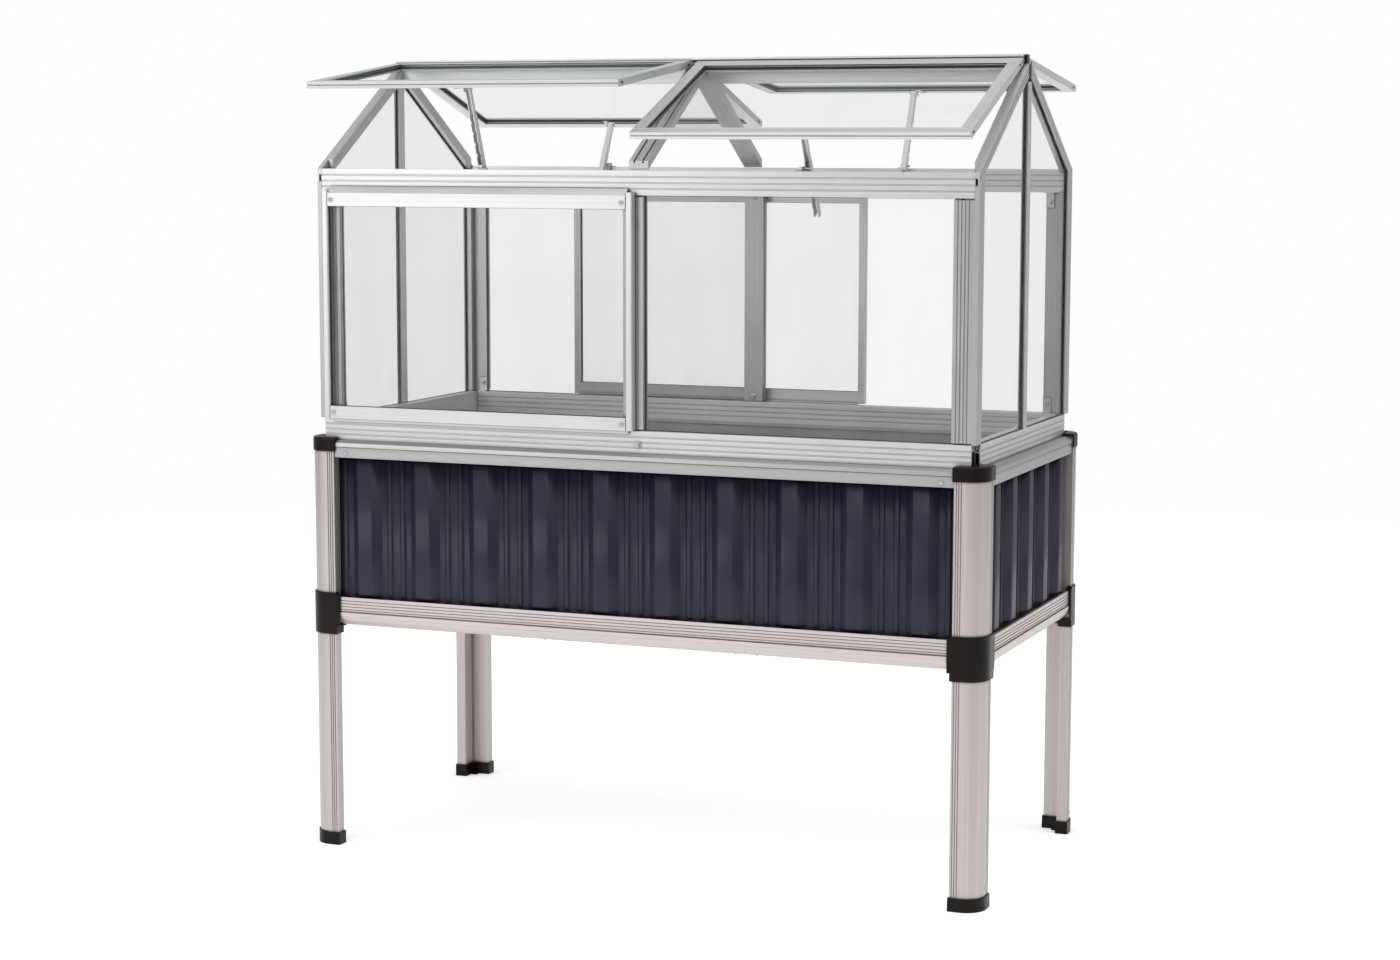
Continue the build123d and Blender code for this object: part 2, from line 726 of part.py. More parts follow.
def make_bolts():
    """Bolts on the corner brackets, the mullion ends and the centre rafters."""
    facing_in = Rot(-90, 0, 0)
    facing_out = Rot(90, 0, 0)
    at_y = -house_half_depth + corner_depth + bracket_thick
    at_x = -house_half_length + corner_face - bracket_width / 2
    bolts = []
    for level in (base_beam_top + bracket_leg * 0.68, eave_beam_bottom - bracket_leg * 0.68):
        one = bolt(at_x, at_y, level, facing_in)
        bolts += [to_corner(one, *signs) for signs in corners.values()]
    for level in (base_beam_top + bolt_from_end, eave_beam_bottom - bolt_from_end):
        one = bolt(0, -house_half_depth + mullion_depth, level, facing_in)
        bolts += [one, half_turn(one)]
    outer = bolt(mullion_width / 4, -house_half_depth, base_beam_bottom + base_beam_height * 0.39, facing_out)
    bolts += [outer, half_turn(outer)]
    return bolts


def make_stay_brackets():
    """Hook brackets for the stays, one on each eave beam inside each bay, with a cross pin."""
    bay = sum(vent_span()) / 2
    hook_y = -house_half_depth + hook_inside
    hook_z = eave_top + hook_above_eave
    beam_inner = -house_half_depth + beam_depth
    x0 = -bay + stay_across / 2 + cheek_gap
    x1 = x0 + cheek_thick * 2
    foot = solid_box(x0, x1 + 8, beam_inner - 7, beam_inner, eave_top, eave_top + cheek_thick)
    web = solid_box(x0, x1, beam_inner - 7, hook_y + hook_radius + 1.5, eave_top, hook_z + hook_radius + 1.5)
    below = solid_box(x0, x1, beam_inner + fit_gap, hook_y + hook_radius + 1.5, eave_top - 6, eave_top)
    pin_x0 = -bay - stay_across / 2 - cheek_gap - 2
    pin_length = x0 - pin_x0
    pin = Pos((pin_x0 + x0) / 2, hook_y, hook_z) * Rot(0, 90, 0) * Cylinder(hook_radius, pin_length)
    bracket = foot + web + below + pin
    return [bracket, half_turn(bracket), flip_y(bracket), half_turn(flip_y(bracket))]


def build_house():
    base, eave = make_front_beams()
    write("base_beam_front", base)
    write("base_beam_back", half_turn(base))
    side = make_side_base_beam()
    write("base_beam_left", side)
    write("base_beam_right", half_turn(side))
    write("eave_beam_front", eave)
    write("eave_beam_back", half_turn(eave))
    post = make_corner_post()
    write("corner_posts", [to_corner(post, *signs) for signs in corners.values()])
    rafter = make_gable_rafter()
    write("gable_rafters_left", [rafter, flip_y(rafter)])
    write("gable_rafters_right", [flip_x(rafter), half_turn(rafter)])
    mullion = make_gable_mullion()
    write("gable_mullion_left", mullion)
    write("gable_mullion_right", half_turn(mullion))
    pane = make_gable_pane()
    write("gable_panes", [to_corner(pane, *signs) for signs in corners.values()])
    centre = make_centre_rafter()
    write("centre_rafters", [centre, half_turn(centre)])
    upright = make_mullion()
    write("centre_mullions", [upright, half_turn(upright)])
    fixed = make_fixed_pane()
    write("fixed_panes", [fixed, half_turn(fixed)])
    write("ridge_beam", make_ridge())
    write("end_caps", make_end_caps())
    write("corner_brackets", make_brackets())
    write("frame_bolts", make_bolts())
    write("stay_brackets", make_stay_brackets())


# ---- sliding doors ----
def door_rail_section(low):
    """Bottom rail of the front door as (y, z), with a lip outside and a hook that runs in the track."""
    back = -house_half_depth - door_clear
    front = back - door_front + door_clear
    base = base_beam_top + run_gap
    section = patch(front, back, low, low + door_rail)
    section += patch(front, back, base + bridge_thick - 1, low + 1)
    section += patch(back - 2, back, base_beam_top - door_lip_down, base + bridge_thick)
    hook_y = -house_half_depth + track_wall + (track_width - hook_plate) / 2
    section += patch(back - 1, hook_y + hook_plate, base, base + bridge_thick)
    section += patch(hook_y, hook_y + hook_plate, base - track_depth + 2, base + bridge_thick)
    section -= patch(front + 2, back - 2, low + 2, low + door_rail - glass_bite - 2)
    return section - door_groove(low + door_rail - glass_bite, low + door_rail + 1)


def door_groove(v0, v1):
    middle = -house_half_depth - door_clear - (door_front - door_clear) / 2
    return patch(middle - groove_width / 2, middle + groove_width / 2, v0, v1)


def door_top_rail_section(high):
    """Top rail: sloping drip lip over the eave beam face, and a hook up into its track."""
    back = -house_half_depth - door_clear
    front = back - door_front + door_clear
    base = eave_beam_bottom - run_gap
    section = patch(front, back, high - door_rail, high)
    lip_top = high + door_lip_up
    lip = make_face(Polyline((front, high - 1), (back, high - 1), (back, lip_top), (back - 2, lip_top),
                             (front, high + 2), close=True))
    section += lip
    hook_y = -house_half_depth + track_wall + (track_width - hook_plate) / 2
    section += patch(back - 1, hook_y + hook_plate, base - bridge_thick, base)
    section += patch(hook_y, hook_y + hook_plate, base - bridge_thick, base + track_depth - 2)
    section -= patch(front + 2, back - 2, high - door_rail + glass_bite + 2, high - 2)
    return section - door_groove(high - door_rail - 1, high - door_rail + glass_bite)


def make_front_door():
    """Frame pieces and pane of the front door, shut over the left bay."""
    x1 = door_lap
    x0 = x1 - door_length
    low = base_beam_top + run_gap + bridge_thick
    high = eave_beam_bottom - run_gap - bridge_thick
    bottom = along_x(door_rail_section(low), x0 + door_stile, x1 - door_stile)
    top = along_x(door_top_rail_section(high), x0 + door_stile, x1 - door_stile)
    back = -house_half_depth - door_clear
    front = back - door_front + door_clear
    stile = solid_box(x0, x0 + door_stile, front, back, low - 1, high + 7)
    outer = stile.edges().filter_by(Axis.Z).sort_by(Axis.Y)[:2]
    stile = fillet(outer, 2.5)
    middle = (front + back) / 2
    pane_side = solid_box(x0 + door_stile - glass_bite, x0 + door_stile + 1, middle - groove_width / 2,
                          middle + groove_width / 2, low + 4, high - 4)
    stile -= pane_side
    other = Pos((x0 + x1) / 2, 0, 0) * flip_x(Pos(-(x0 + x1) / 2, 0, 0) * stile)
    inset = door_stile - glass_bite + groove_slack
    rise = door_rail - glass_bite + groove_slack
    pane = solid_box(x0 + inset, x1 - inset, middle - glass_thick / 2, middle + glass_thick / 2,
                     low + rise, high - rise)
    return [bottom, top, stile, other], pane


def build_doors():
    frame, pane = make_front_door()
    write("front_door_frame", frame)
    write("front_door_pane", pane)
    shift = Pos(door_shown_shift, 0, 0)
    write("back_door_frame", [shift * half_turn(item) for item in frame])
    write("back_door_pane", shift * half_turn(pane))


# ---- roof vents and stays ----
def vent_angles():
    return {"front_left": vent_open_wide, "front_right": vent_open_front_right,
            "back_left": vent_open_back_left, "back_right": vent_open_wide}


def vent_span():
    return vent_gap / 2, house_half_length - fit_gap


def vent_section(s0, s1):
    half = vent_thick / 2
    return patch(-s1, -s0, -half, half)


def make_flat_vent():
    """A front right vent lying level, its hinge line at the origin and its free edge towards -Y."""
    x0, x1 = vent_span()
    curl_inner = hinge_bead + hinge_gap
    curl_outer = curl_inner + hinge_curl
    curl = Circle(curl_outer) - Circle(curl_inner)
    spread = radians(curl_opening)
    far = 4 * curl_outer
    wedge = make_face(Polyline((0, 0), (far * cos(spread), far * sin(spread)), (far, 0),
                               (far * cos(spread), -far * sin(spread)), close=True))
    curl -= wedge
    top_section = vent_section(curl_outer - 1.2, curl_outer + vent_bar) - Circle(curl_inner) + curl
    groove = patch(-(curl_outer + vent_bar) - 1, -(curl_outer + vent_bar) + glass_bite, -groove_width / 2,
                   groove_width / 2)
    top = along_x(top_section - groove, x0, x1)
    free = vent_section(vent_reach - vent_bar, vent_reach)
    free -= patch(-(vent_reach - vent_bar) - glass_bite, -(vent_reach - vent_bar) + 1, -groove_width / 2,
                  groove_width / 2)
    free -= patch(-vent_reach - 1, -vent_reach + 1.2, -1, 1)
    free = along_x(free, x0, x1)
    side_start = -(vent_reach - vent_bar) + fit_gap
    side_end = -(curl_outer + vent_bar) - fit_gap
    half = vent_thick / 2
    bar = solid_box(x0, x0 + vent_bar, side_start, side_end, -half, half)
    bar -= solid_box(x0 + vent_bar - glass_bite, x0 + vent_bar + 1, side_start - 1, side_end + 1,
                     -groove_width / 2, groove_width / 2)
    other = Pos(x0 + x1, 0, 0) * flip_x(bar)
    inset = vent_bar - glass_bite + groove_slack
    pane = solid_box(x0 + inset, x1 - inset, -(vent_reach - inset), -(curl_outer + inset), -glass_thick / 2,
                     glass_thick / 2)
    return [top, free, bar, other, make_stay_clevis(x0, x1)], pane


def make_stay_clevis(x0, x1):
    """Cheek under the free rail with the pin that the stay turns on."""
    middle = (x0 + x1) / 2
    half = vent_thick / 2
    cheek_x = middle + stay_across / 2 + cheek_gap
    low = -stay_pivot_below - 5
    cheek = solid_box(cheek_x, cheek_x + cheek_thick, -stay_pivot_along - 5, -stay_pivot_along + 5,
                      low, -half)
    seat_end = -(vent_reach - vent_bar) - 12
    seat = solid_box(cheek_x, cheek_x + 9, seat_end, -stay_pivot_along + 5, -half - cheek_thick, -half)
    bar_gap = middle - stay_across / 2 - cheek_gap
    pin_length = cheek_x - bar_gap
    pin = Pos((cheek_x + bar_gap) / 2, -stay_pivot_along, -stay_pivot_below) * Rot(0, 90, 0)
    pin = pin * Cylinder(pivot_radius, pin_length)
    head = Pos(bar_gap - 0.75, -stay_pivot_along, -stay_pivot_below) * Rot(0, 90, 0)
    head = head * Cylinder(pivot_radius + 1.5, 1.5)
    return cheek + seat + pin + head


def place_vent(shape, opened):
    """Tilt a level vent down by its opening angle and carry it to the front hinge line."""
    return Pos(0, -hinge_offset, hinge_height) * (Rot(opened, 0, 0) * shape)


def stay_pivot(opened):
    """Pivot of the stay as (distance from the middle, height) when a vent stands at an angle."""
    angle = radians(opened)
    away = hinge_offset + stay_pivot_along * cos(angle) - stay_pivot_below * sin(angle)
    height = hinge_height - stay_pivot_along * sin(angle) - stay_pivot_below * cos(angle)
    return away, height


def stay_tilt(opened):
    """Angle from upright at which the notched edge passes the hook pin with its gap."""
    away, height = stay_pivot(opened)
    hook_away = house_half_depth - hook_inside
    hook_height = eave_top + hook_above_eave
    inward = away - hook_away
    drop = height - hook_height
    offset = hook_radius + hook_gap + stay_wide / 2
    return degrees(atan2(inward, drop) + asin(offset / hypot(inward, drop)))


def make_hanging_stay():
    """A stay hanging straight down from the origin: a channel, its open notched edges towards -Y."""
    narrow = patch(-stay_narrow / 2, stay_narrow / 2, -stay_shoulder, 0) + Circle(stay_narrow / 2)
    wide = patch(-stay_wide / 2, stay_wide / 2, -stay_length + stay_wide / 2, -stay_shoulder)
    tip = Pos(0, -stay_length + stay_wide / 2) * Circle(stay_wide / 2)
    section = narrow + wide + tip
    first = stay_shoulder + 12
    place = first
    while place < stay_length - stay_wide:
        section -= patch(-stay_wide / 2 - 1, -stay_wide / 2 + stay_notch_depth, -place - stay_notch_width / 2,
                         -place + stay_notch_width / 2)
        place += stay_notch_pitch
    section -= Circle(pivot_radius + pivot_gap)
    hollow = patch(-stay_wide, stay_narrow / 2 - stay_wall, -stay_shoulder, stay_narrow)
    hollow += patch(-stay_wide, stay_wide / 2 - stay_wall, -stay_length - 1, -stay_shoulder)
    inside = stay_across / 2 - stay_wall
    return along_x(section, -stay_across / 2, stay_across / 2) - along_x(hollow, -inside, inside)


def place_stay(opened):
    away, height = stay_pivot(opened)
    x0, x1 = vent_span()
    tilted = Rot(stay_tilt(opened), 0, 0) * make_hanging_stay()
    return Pos((x0 + x1) / 2, -away, height) * tilted


def build_vents():
    flat_frame, flat_pane = make_flat_vent()
    moves = {"front_right": lambda shape: shape, "front_left": flip_x, "back_right": flip_y,
             "back_left": lambda shape: flip_y(flip_x(shape))}
    for name, opened in vent_angles().items():
        move = moves[name]
        write(f"vent_{name}_frame", [move(place_vent(item, opened)) for item in flat_frame])
        write(f"vent_{name}_pane", move(place_vent(flat_pane, opened)))
        write(f"stay_{name}", move(place_stay(opened)))


os.makedirs("parts", exist_ok=True)
build_planter()
build_house()
build_doors()
build_vents()
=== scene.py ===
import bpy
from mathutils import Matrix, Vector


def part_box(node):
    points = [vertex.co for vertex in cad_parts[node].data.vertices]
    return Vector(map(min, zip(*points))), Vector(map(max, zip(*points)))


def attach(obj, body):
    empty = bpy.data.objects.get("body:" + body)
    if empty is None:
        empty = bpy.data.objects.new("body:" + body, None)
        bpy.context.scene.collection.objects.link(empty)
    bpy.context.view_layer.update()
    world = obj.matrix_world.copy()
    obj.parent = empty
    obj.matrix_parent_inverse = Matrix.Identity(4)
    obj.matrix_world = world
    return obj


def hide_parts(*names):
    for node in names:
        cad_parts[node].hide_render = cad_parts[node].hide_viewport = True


bl_info = {
    "name": "Cold frame on a raised planter",
    "version": (1, 0, 0),
    "blender": (4, 5, 0),
    "location": "View3D > Sidebar > Cold frame",
    "description": "Finishes, ribbed sheets, fasteners and glazing seals for a glazed growing house",
    "category": "Object",
}

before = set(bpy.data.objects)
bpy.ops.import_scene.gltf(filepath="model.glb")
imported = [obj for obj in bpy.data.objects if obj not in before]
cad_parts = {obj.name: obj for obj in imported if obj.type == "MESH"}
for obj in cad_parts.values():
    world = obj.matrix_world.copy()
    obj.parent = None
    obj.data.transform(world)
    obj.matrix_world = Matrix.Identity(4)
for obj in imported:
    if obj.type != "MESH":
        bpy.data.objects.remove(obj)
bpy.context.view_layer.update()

import math

import bmesh
import bpy
from bpy.props import FloatProperty, FloatVectorProperty, PointerProperty
from mathutils import Matrix, Vector

MM = 0.001

# The legs and the roof vents are both named by where they are
CORNERS = ("front_left", "front_right", "back_left", "back_right")

# Painted light and shade: how light a bar is against the colour of its metal, set to the tone that each bar
# takes under the lights
BOTTOM_RAIL_PAINTED_LIGHT = 1.15
TOP_RAIL_PAINTED_SHADE = 0.66
CORNER_POST_PAINTED_SHADE = 0.70
CENTRE_MULLION_PAINTED_SHADE = 0.72
RAFTER_PAINTED_SHADE = 0.84

# Widths of the bars that close the ends of a door and of a vent
DOOR_STILE = 12 * MM
VENT_STILE = 20 * MM

# Sockets of a Mix node that mixes colours, by number because their names repeat
MIX_SHARE, MIX_FIRST, MIX_SECOND, MIX_RESULT = 0, 6, 7, 2


# ---- node building ----

class Value:
    """A node's output that can be used in a Python expression."""

    def __init__(self, graph, socket):
        self.graph = graph
        self.socket = socket

    def __add__(self, other):
        return self.graph.maths("ADD", self, other)

    def __radd__(self, other):
        return self.graph.maths("ADD", other, self)

    def __sub__(self, other):
        return self.graph.maths("SUBTRACT", self, other)

    def __rsub__(self, other):
        return self.graph.maths("SUBTRACT", other, self)

    def __mul__(self, other):
        return self.graph.maths("MULTIPLY", self, other)

    def __rmul__(self, other):
        return self.graph.maths("MULTIPLY", other, self)

    def __truediv__(self, other):
        return self.graph.maths("DIVIDE", self, other)

    def __gt__(self, other):
        return self.graph.maths("GREATER_THAN", self, other)

    def __abs__(self):
        return self.graph.maths("ABSOLUTE", self)


class Graph:
    """Adds nodes to one tree and links them."""

    def __init__(self, tree):
        self.tree = tree

    def node(self, kind, settings=None, inputs=None, output=0):
        """Add a node, set it up, feed its inputs, and return one of its outputs."""
        made = self.tree.nodes.new(kind)
        for name, value in (settings or {}).items():
            if name == "stops":
                self.set_stops(made.color_ramp, value)
            else:
                setattr(made, name, value)
        for name, value in (inputs or {}).items():
            self.feed(made.inputs[name], value)
        return Value(self, made.outputs[output]) if made.outputs else made

    def feed(self, socket, value):
        if isinstance(value, Value):
            self.tree.links.new(value.socket, socket)
        else:
            socket.default_value = value

    def set_stops(self, ramp, stops):
        while len(ramp.elements) < len(stops):
            ramp.elements.new(1.0)
        for element, (place, grey) in zip(ramp.elements, stops):
            element.position = place
            element.color = (grey, grey, grey, 1.0)

    def maths(self, operation, *values):
        return self.node("ShaderNodeMath", {"operation": operation}, dict(enumerate(values)))

    def limited(self, value):
        """The value held between 0 and 1."""
        return self.node("ShaderNodeClamp", None, {"Value": value})

    def mixed(self, first, second, share):
        """Two colours mixed by a share."""
        inputs = {MIX_SHARE: share, MIX_FIRST: first, MIX_SECOND: second}
        return self.node("ShaderNodeMix", {"data_type": "RGBA"}, inputs, MIX_RESULT)


class Finish(Graph):
    """A material built on one Principled shader."""

    def __init__(self, name, **constants):
        self.material = bpy.data.materials.new(name)
        self.material.use_nodes = True
        super().__init__(self.material.node_tree)
        self.surface = self.tree.nodes["Principled BSDF"]
        for socket, value in constants.items():
            self.surface.inputs[socket.replace("_", " ")].default_value = value

    def set(self, **inputs):
        for socket, value in inputs.items():
            self.feed(self.surface.inputs[socket.replace("_", " ")], value)

    def place(self):
        """Position on the piece, in metres."""
        return self.node("ShaderNodeTexCoord", None, None, "Object")

    def stretched(self, place, sizes, turn=(0.0, 0.0, 0.0)):
        """Position measured in units of the given sizes, after a turn."""
        inputs = {"Vector": place, "Rotation": turn, "Scale": sizes}
        return self.node("ShaderNodeMapping", {"vector_type": "TEXTURE"}, inputs)

    def noise(self, place, scale=1.0, detail=2.0, roughness=0.5):
        inputs = {"Vector": place, "Scale": scale, "Detail": detail, "Roughness": roughness}
        return self.node("ShaderNodeTexNoise", None, inputs)

    def axis(self, place, name):
        return self.node("ShaderNodeSeparateXYZ", None, {"Vector": place}, name)

    def soft_edges(self, radius):
        """Normal that rounds the sharp edges of a piece."""
        return self.node("ShaderNodeBevel", {"samples": 4}, {"Radius": radius})

    def edge_mask(self, rounded):
        """1 along edges, 0 on flat faces."""
        gain = 6.0
        unrounded = self.node("ShaderNodeNewGeometry", None, None, "Normal")
        normals = {0: rounded, 1: unrounded}
        along = self.node("ShaderNodeVectorMath", {"operation": "DOT_PRODUCT"}, normals, "Value")
        return self.limited((1.0 - along) * gain)

    def open_mask(self, reach, least):
        """1 on open faces, falling to 0 in grooves and where pieces meet; the mask for painted shade."""
        most = 0.96
        share = self.node("ShaderNodeAmbientOcclusion", {"samples": 6}, {"Distance": reach}, "AO")
        return self.limited((share - least) * (1.0 / (most - least)))

    def bumped(self, height, strength, distance, normal=None):
        inputs = {"Height": height, "Strength": strength, "Distance": distance}
        if normal is not None:
            inputs["Normal"] = normal
        return self.node("ShaderNodeBump", None, inputs)


# ---- finishes ----

def shaded(colour, factor):
    return [part * factor for part in colour]


def rgba(colour, factor=1.0):
    """The colour, made lighter or darker by a factor, as a colour socket takes it."""
    return (*shaded(colour, factor), 1.0)


class Grain:
    """Direction of the drawing lines on an extruded bar.

    turn is an angle about X, for a bar that lies along a roof slope."""

    def __init__(self, long_axis, turn=0.0):
        self.long_axis = long_axis
        self.turn = (turn, 0.0, 0.0)

    def sizes(self, width, length):
        """Size of one line along each axis."""
        return tuple(length if axis == self.long_axis else width for axis in "XYZ")


ALONG_X = Grain("X")
ALONG_Y = Grain("Y")
ALONG_Z = Grain("Z")


def draw_lines(finish, place, grain):
    """Fine and broad lines left by the extrusion die, as two values."""
    fine_line = grain.sizes(width=0.9 * MM, length=0.5)
    broad_line = grain.sizes(width=5 * MM, length=0.9)
    fine = finish.noise(finish.stretched(place, fine_line, grain.turn), detail=2.0)
    broad = finish.noise(finish.stretched(place, broad_line, grain.turn), detail=1.0)
    return fine, broad


def folded_place(finish):
    """Position with both roof slopes laid on one side, so that one turn follows either."""
    place = finish.place()
    parts = {"X": finish.axis(place, "X"), "Y": abs(finish.axis(place, "Y")), "Z": finish.axis(place, "Z")}
    return finish.node("ShaderNodeCombineXYZ", None, parts)


def extruded_metal(name, colour, grain, roughness=0.36, end_grain=None, ends=None, painted_groove_shade=0.70):
    """Drawn aluminium: lines along the bar, cloudy oxide, edges lightened as rubbed wear and as painted
    highlight, painted shade in the grooves and where pieces meet.

    end_grain is the direction of the bars that close a frame beyond the two x values in ends.
    The last argument is the share of the colour that painted shade takes from a deep groove."""
    edge_radius = 0.5 * MM
    groove_reach = 5 * MM
    groove_openness = 0.55
    finish = Finish(name, Metallic=0.66)
    place = folded_place(finish) if end_grain or any(grain.turn) else finish.place()
    fine, broad = draw_lines(finish, place, grain)
    if end_grain:
        x = finish.axis(place, "X")
        middle = sum(ends) / 2
        reach = (ends[1] - ends[0]) / 2
        at_end = abs(x - middle) > reach
        fine_end, broad_end = draw_lines(finish, place, end_grain)
        fine = fine + (fine_end - fine) * at_end
        broad = broad + (broad_end - broad) * at_end
    clouds = finish.noise(place, scale=9.0, detail=4.0, roughness=0.6)
    specks = finish.noise(place, scale=420.0)
    rounded = finish.soft_edges(edge_radius)
    rubbed = finish.edge_mask(rounded)
    shade = finish.limited(1.5 * (0.5 * broad + 0.3 * fine + 0.2 * clouds) - 0.25)
    lined = finish.mixed(rgba(colour, 0.80), rgba(colour, 1.14), shade)
    # Painted shade: grooves, recesses and the joints between pieces darkened by ambient occlusion
    is_open = finish.open_mask(groove_reach, groove_openness)
    with_painted_shade = finish.mixed(rgba(colour, 1.0 - painted_groove_shade), lined, is_open)
    # Edges lightened: partly rubbed wear, partly a painted highlight along them
    finish.set(
        Base_Color=finish.mixed(with_painted_shade, rgba(colour, 1.5), rubbed * 0.7),
        Roughness=finish.limited(roughness + 0.14 * (clouds - 0.5) + 0.12 * (fine - 0.5) - 0.08 * rubbed),
        Normal=finish.bumped(fine * 0.7 + specks * 0.3, strength=0.10, distance=0.25 * MM, normal=rounded),
    )
    return finish.material


def moulded_plastic(name, colour):
    """Black moulded plastic with a fine spark-eroded grain and paler rubbed edges."""
    rubbed_colour = rgba((0.04, 0.032, 0.03))
    edge_radius = 1.1 * MM
    finish = Finish(name, IOR=1.49, Specular_IOR_Level=0.17)
    place = finish.place()
    grain = finish.noise(place, scale=1500.0, detail=3.0, roughness=0.6)
    flow = finish.noise(place, scale=22.0, detail=3.0, roughness=0.55)
    rounded = finish.soft_edges(edge_radius)
    rubbed = finish.edge_mask(rounded)
    body = finish.mixed(rgba(colour, 0.8), rgba(colour, 1.5), flow)
    finish.set(
        Base_Color=finish.mixed(body, rubbed_colour, rubbed * 0.3),
        Roughness=finish.limited(0.30 + 0.22 * (flow - 0.5) + 0.10 * (grain - 0.5) - 0.06 * rubbed),
        Normal=finish.bumped(grain, strength=0.22, distance=0.12 * MM, normal=rounded),
    )
    return finish.material


def painted_sheet(name, colour, back_colour, face_axis):
    """Slate powder coat over ribbed steel: orange peel, dust in the lower part, small scuffs, painted shade
    in the valleys and under the top rail.

    face_axis is the axis that the sheet's face looks along. The side towards the soil has a pale coat."""
    dust_colour = rgba((0.10, 0.095, 0.11))
    scuff_colour = rgba((0.17, 0.165, 0.20))
    dusty_share = 0.35
    valley_reach = 14 * MM
    valley_openness = 0.40
    finish = Finish(name, IOR=1.5, Coat_Roughness=0.28, Specular_IOR_Level=0.2)
    place = finish.place()
    height = finish.axis(place, "Z")
    low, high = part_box("panel_front")
    peel = finish.noise(place, scale=520.0)
    clouds = finish.noise(place, scale=5.0, detail=4.0, roughness=0.6)
    runs = finish.noise(finish.stretched(place, (7 * MM, 7 * MM, 0.35)), detail=3.0)
    scratch_sizes = (0.6 * MM, 0.6 * MM, 0.09)
    scratches = finish.noise(finish.stretched(place, scratch_sizes), detail=3.0, roughness=0.7)
    scuffed = finish.limited((scratches - 0.70) * 14.0)
    above = (height - low.z) / (dusty_share * (high.z - low.z))
    dust = finish.limited(1.0 - above) * finish.limited(clouds * 1.4)
    base = finish.mixed(rgba(colour, 0.78), rgba(colour, 1.32), finish.limited(0.5 * runs + 0.5 * clouds))
    dusty = finish.mixed(base, dust_colour, dust * 0.16)
    # Painted shade: the valleys and the band under the top rail darkened by ambient occlusion
    is_open = finish.open_mask(valley_reach, valley_openness)
    with_painted_shade = finish.mixed(rgba(colour, 0.25), dusty, is_open)
    worn = finish.mixed(with_painted_shade, scuff_colour, scuffed * 0.35)
    facing = finish.node("ShaderNodeTexCoord", None, None, "Normal")
    towards_soil = finish.limited(finish.axis(facing, face_axis) * finish.axis(place, face_axis) * -60.0)
    finish.set(
        Base_Color=finish.mixed(worn, rgba(back_colour), towards_soil),
        Roughness=finish.limited(0.36 + 0.16 * (runs - 0.5) + 0.16 * dust + 0.1 * scuffed),
        Coat_Weight=finish.limited(0.09 - 0.06 * dust),
        Normal=finish.bumped(peel * 0.6 + runs * 0.4, strength=0.12, distance=0.3 * MM),
    )
    return finish.material


def zinc_sheet(name, colour):
    """Galvanised steel with its crystal flowers."""
    finish = Finish(name, Metallic=0.45)
    place = finish.place()
    inputs = {"Vector": place, "Scale": 85.0}
    flowers = finish.node("ShaderNodeTexVoronoi", {"feature": "F1"}, inputs, "Color")
    tone = finish.axis(flowers, "X")
    clouds = finish.noise(place, scale=12.0, detail=4.0)
    shade = finish.limited(0.6 * tone + 0.4 * clouds)
    finish.set(
        Base_Color=finish.mixed(rgba(colour, 0.62), rgba(colour, 1.05), shade),
        Roughness=finish.limited(0.34 + 0.22 * tone + 0.10 * (clouds - 0.5)),
        Normal=finish.bumped(tone * 0.4 + clouds * 0.6, strength=0.10, distance=0.2 * MM),
    )
    return finish.material


def plated_steel(name, colour):
    """Zinc-plated steel of the screws, bolts and brackets, with a little tarnish."""
    edge_radius = 0.25 * MM
    finish = Finish(name, Metallic=1.0)
    place = finish.place()
    tarnish = finish.noise(place, scale=160.0, detail=4.0, roughness=0.6)
    fine = finish.noise(place, scale=1800.0)
    rounded = finish.soft_edges(edge_radius)
    rubbed = finish.edge_mask(rounded)
    tone = finish.mixed(rgba(colour, 0.55), rgba(colour), finish.limited(tarnish * 1.5 - 0.1))
    finish.set(
        Base_Color=finish.mixed(tone, rgba(colour, 1.25), rubbed * 0.6),
        Roughness=finish.limited(0.24 + 0.30 * (1.0 - tarnish) + 0.08 * (fine - 0.5)),
        Normal=finish.bumped(fine, strength=0.12, distance=0.1 * MM, normal=rounded),
    )
    return finish.material


def seal_rubber(name, colour):
    """Black glazing rubber with a dull bloom."""
    finish = Finish(name, IOR=1.5)
    place = finish.place()
    bloom = finish.noise(place, scale=60.0, detail=4.0, roughness=0.6)
    grain = finish.noise(place, scale=1400.0)
    finish.set(
        Base_Color=finish.mixed(rgba(colour, 0.8), rgba(colour, 2.4), finish.limited(bloom * 1.6 - 0.5)),
        Roughness=finish.limited(0.58 + 0.22 * bloom),
        Normal=finish.bumped(grain, strength=0.15, distance=0.1 * MM),
    )
    return finish.material


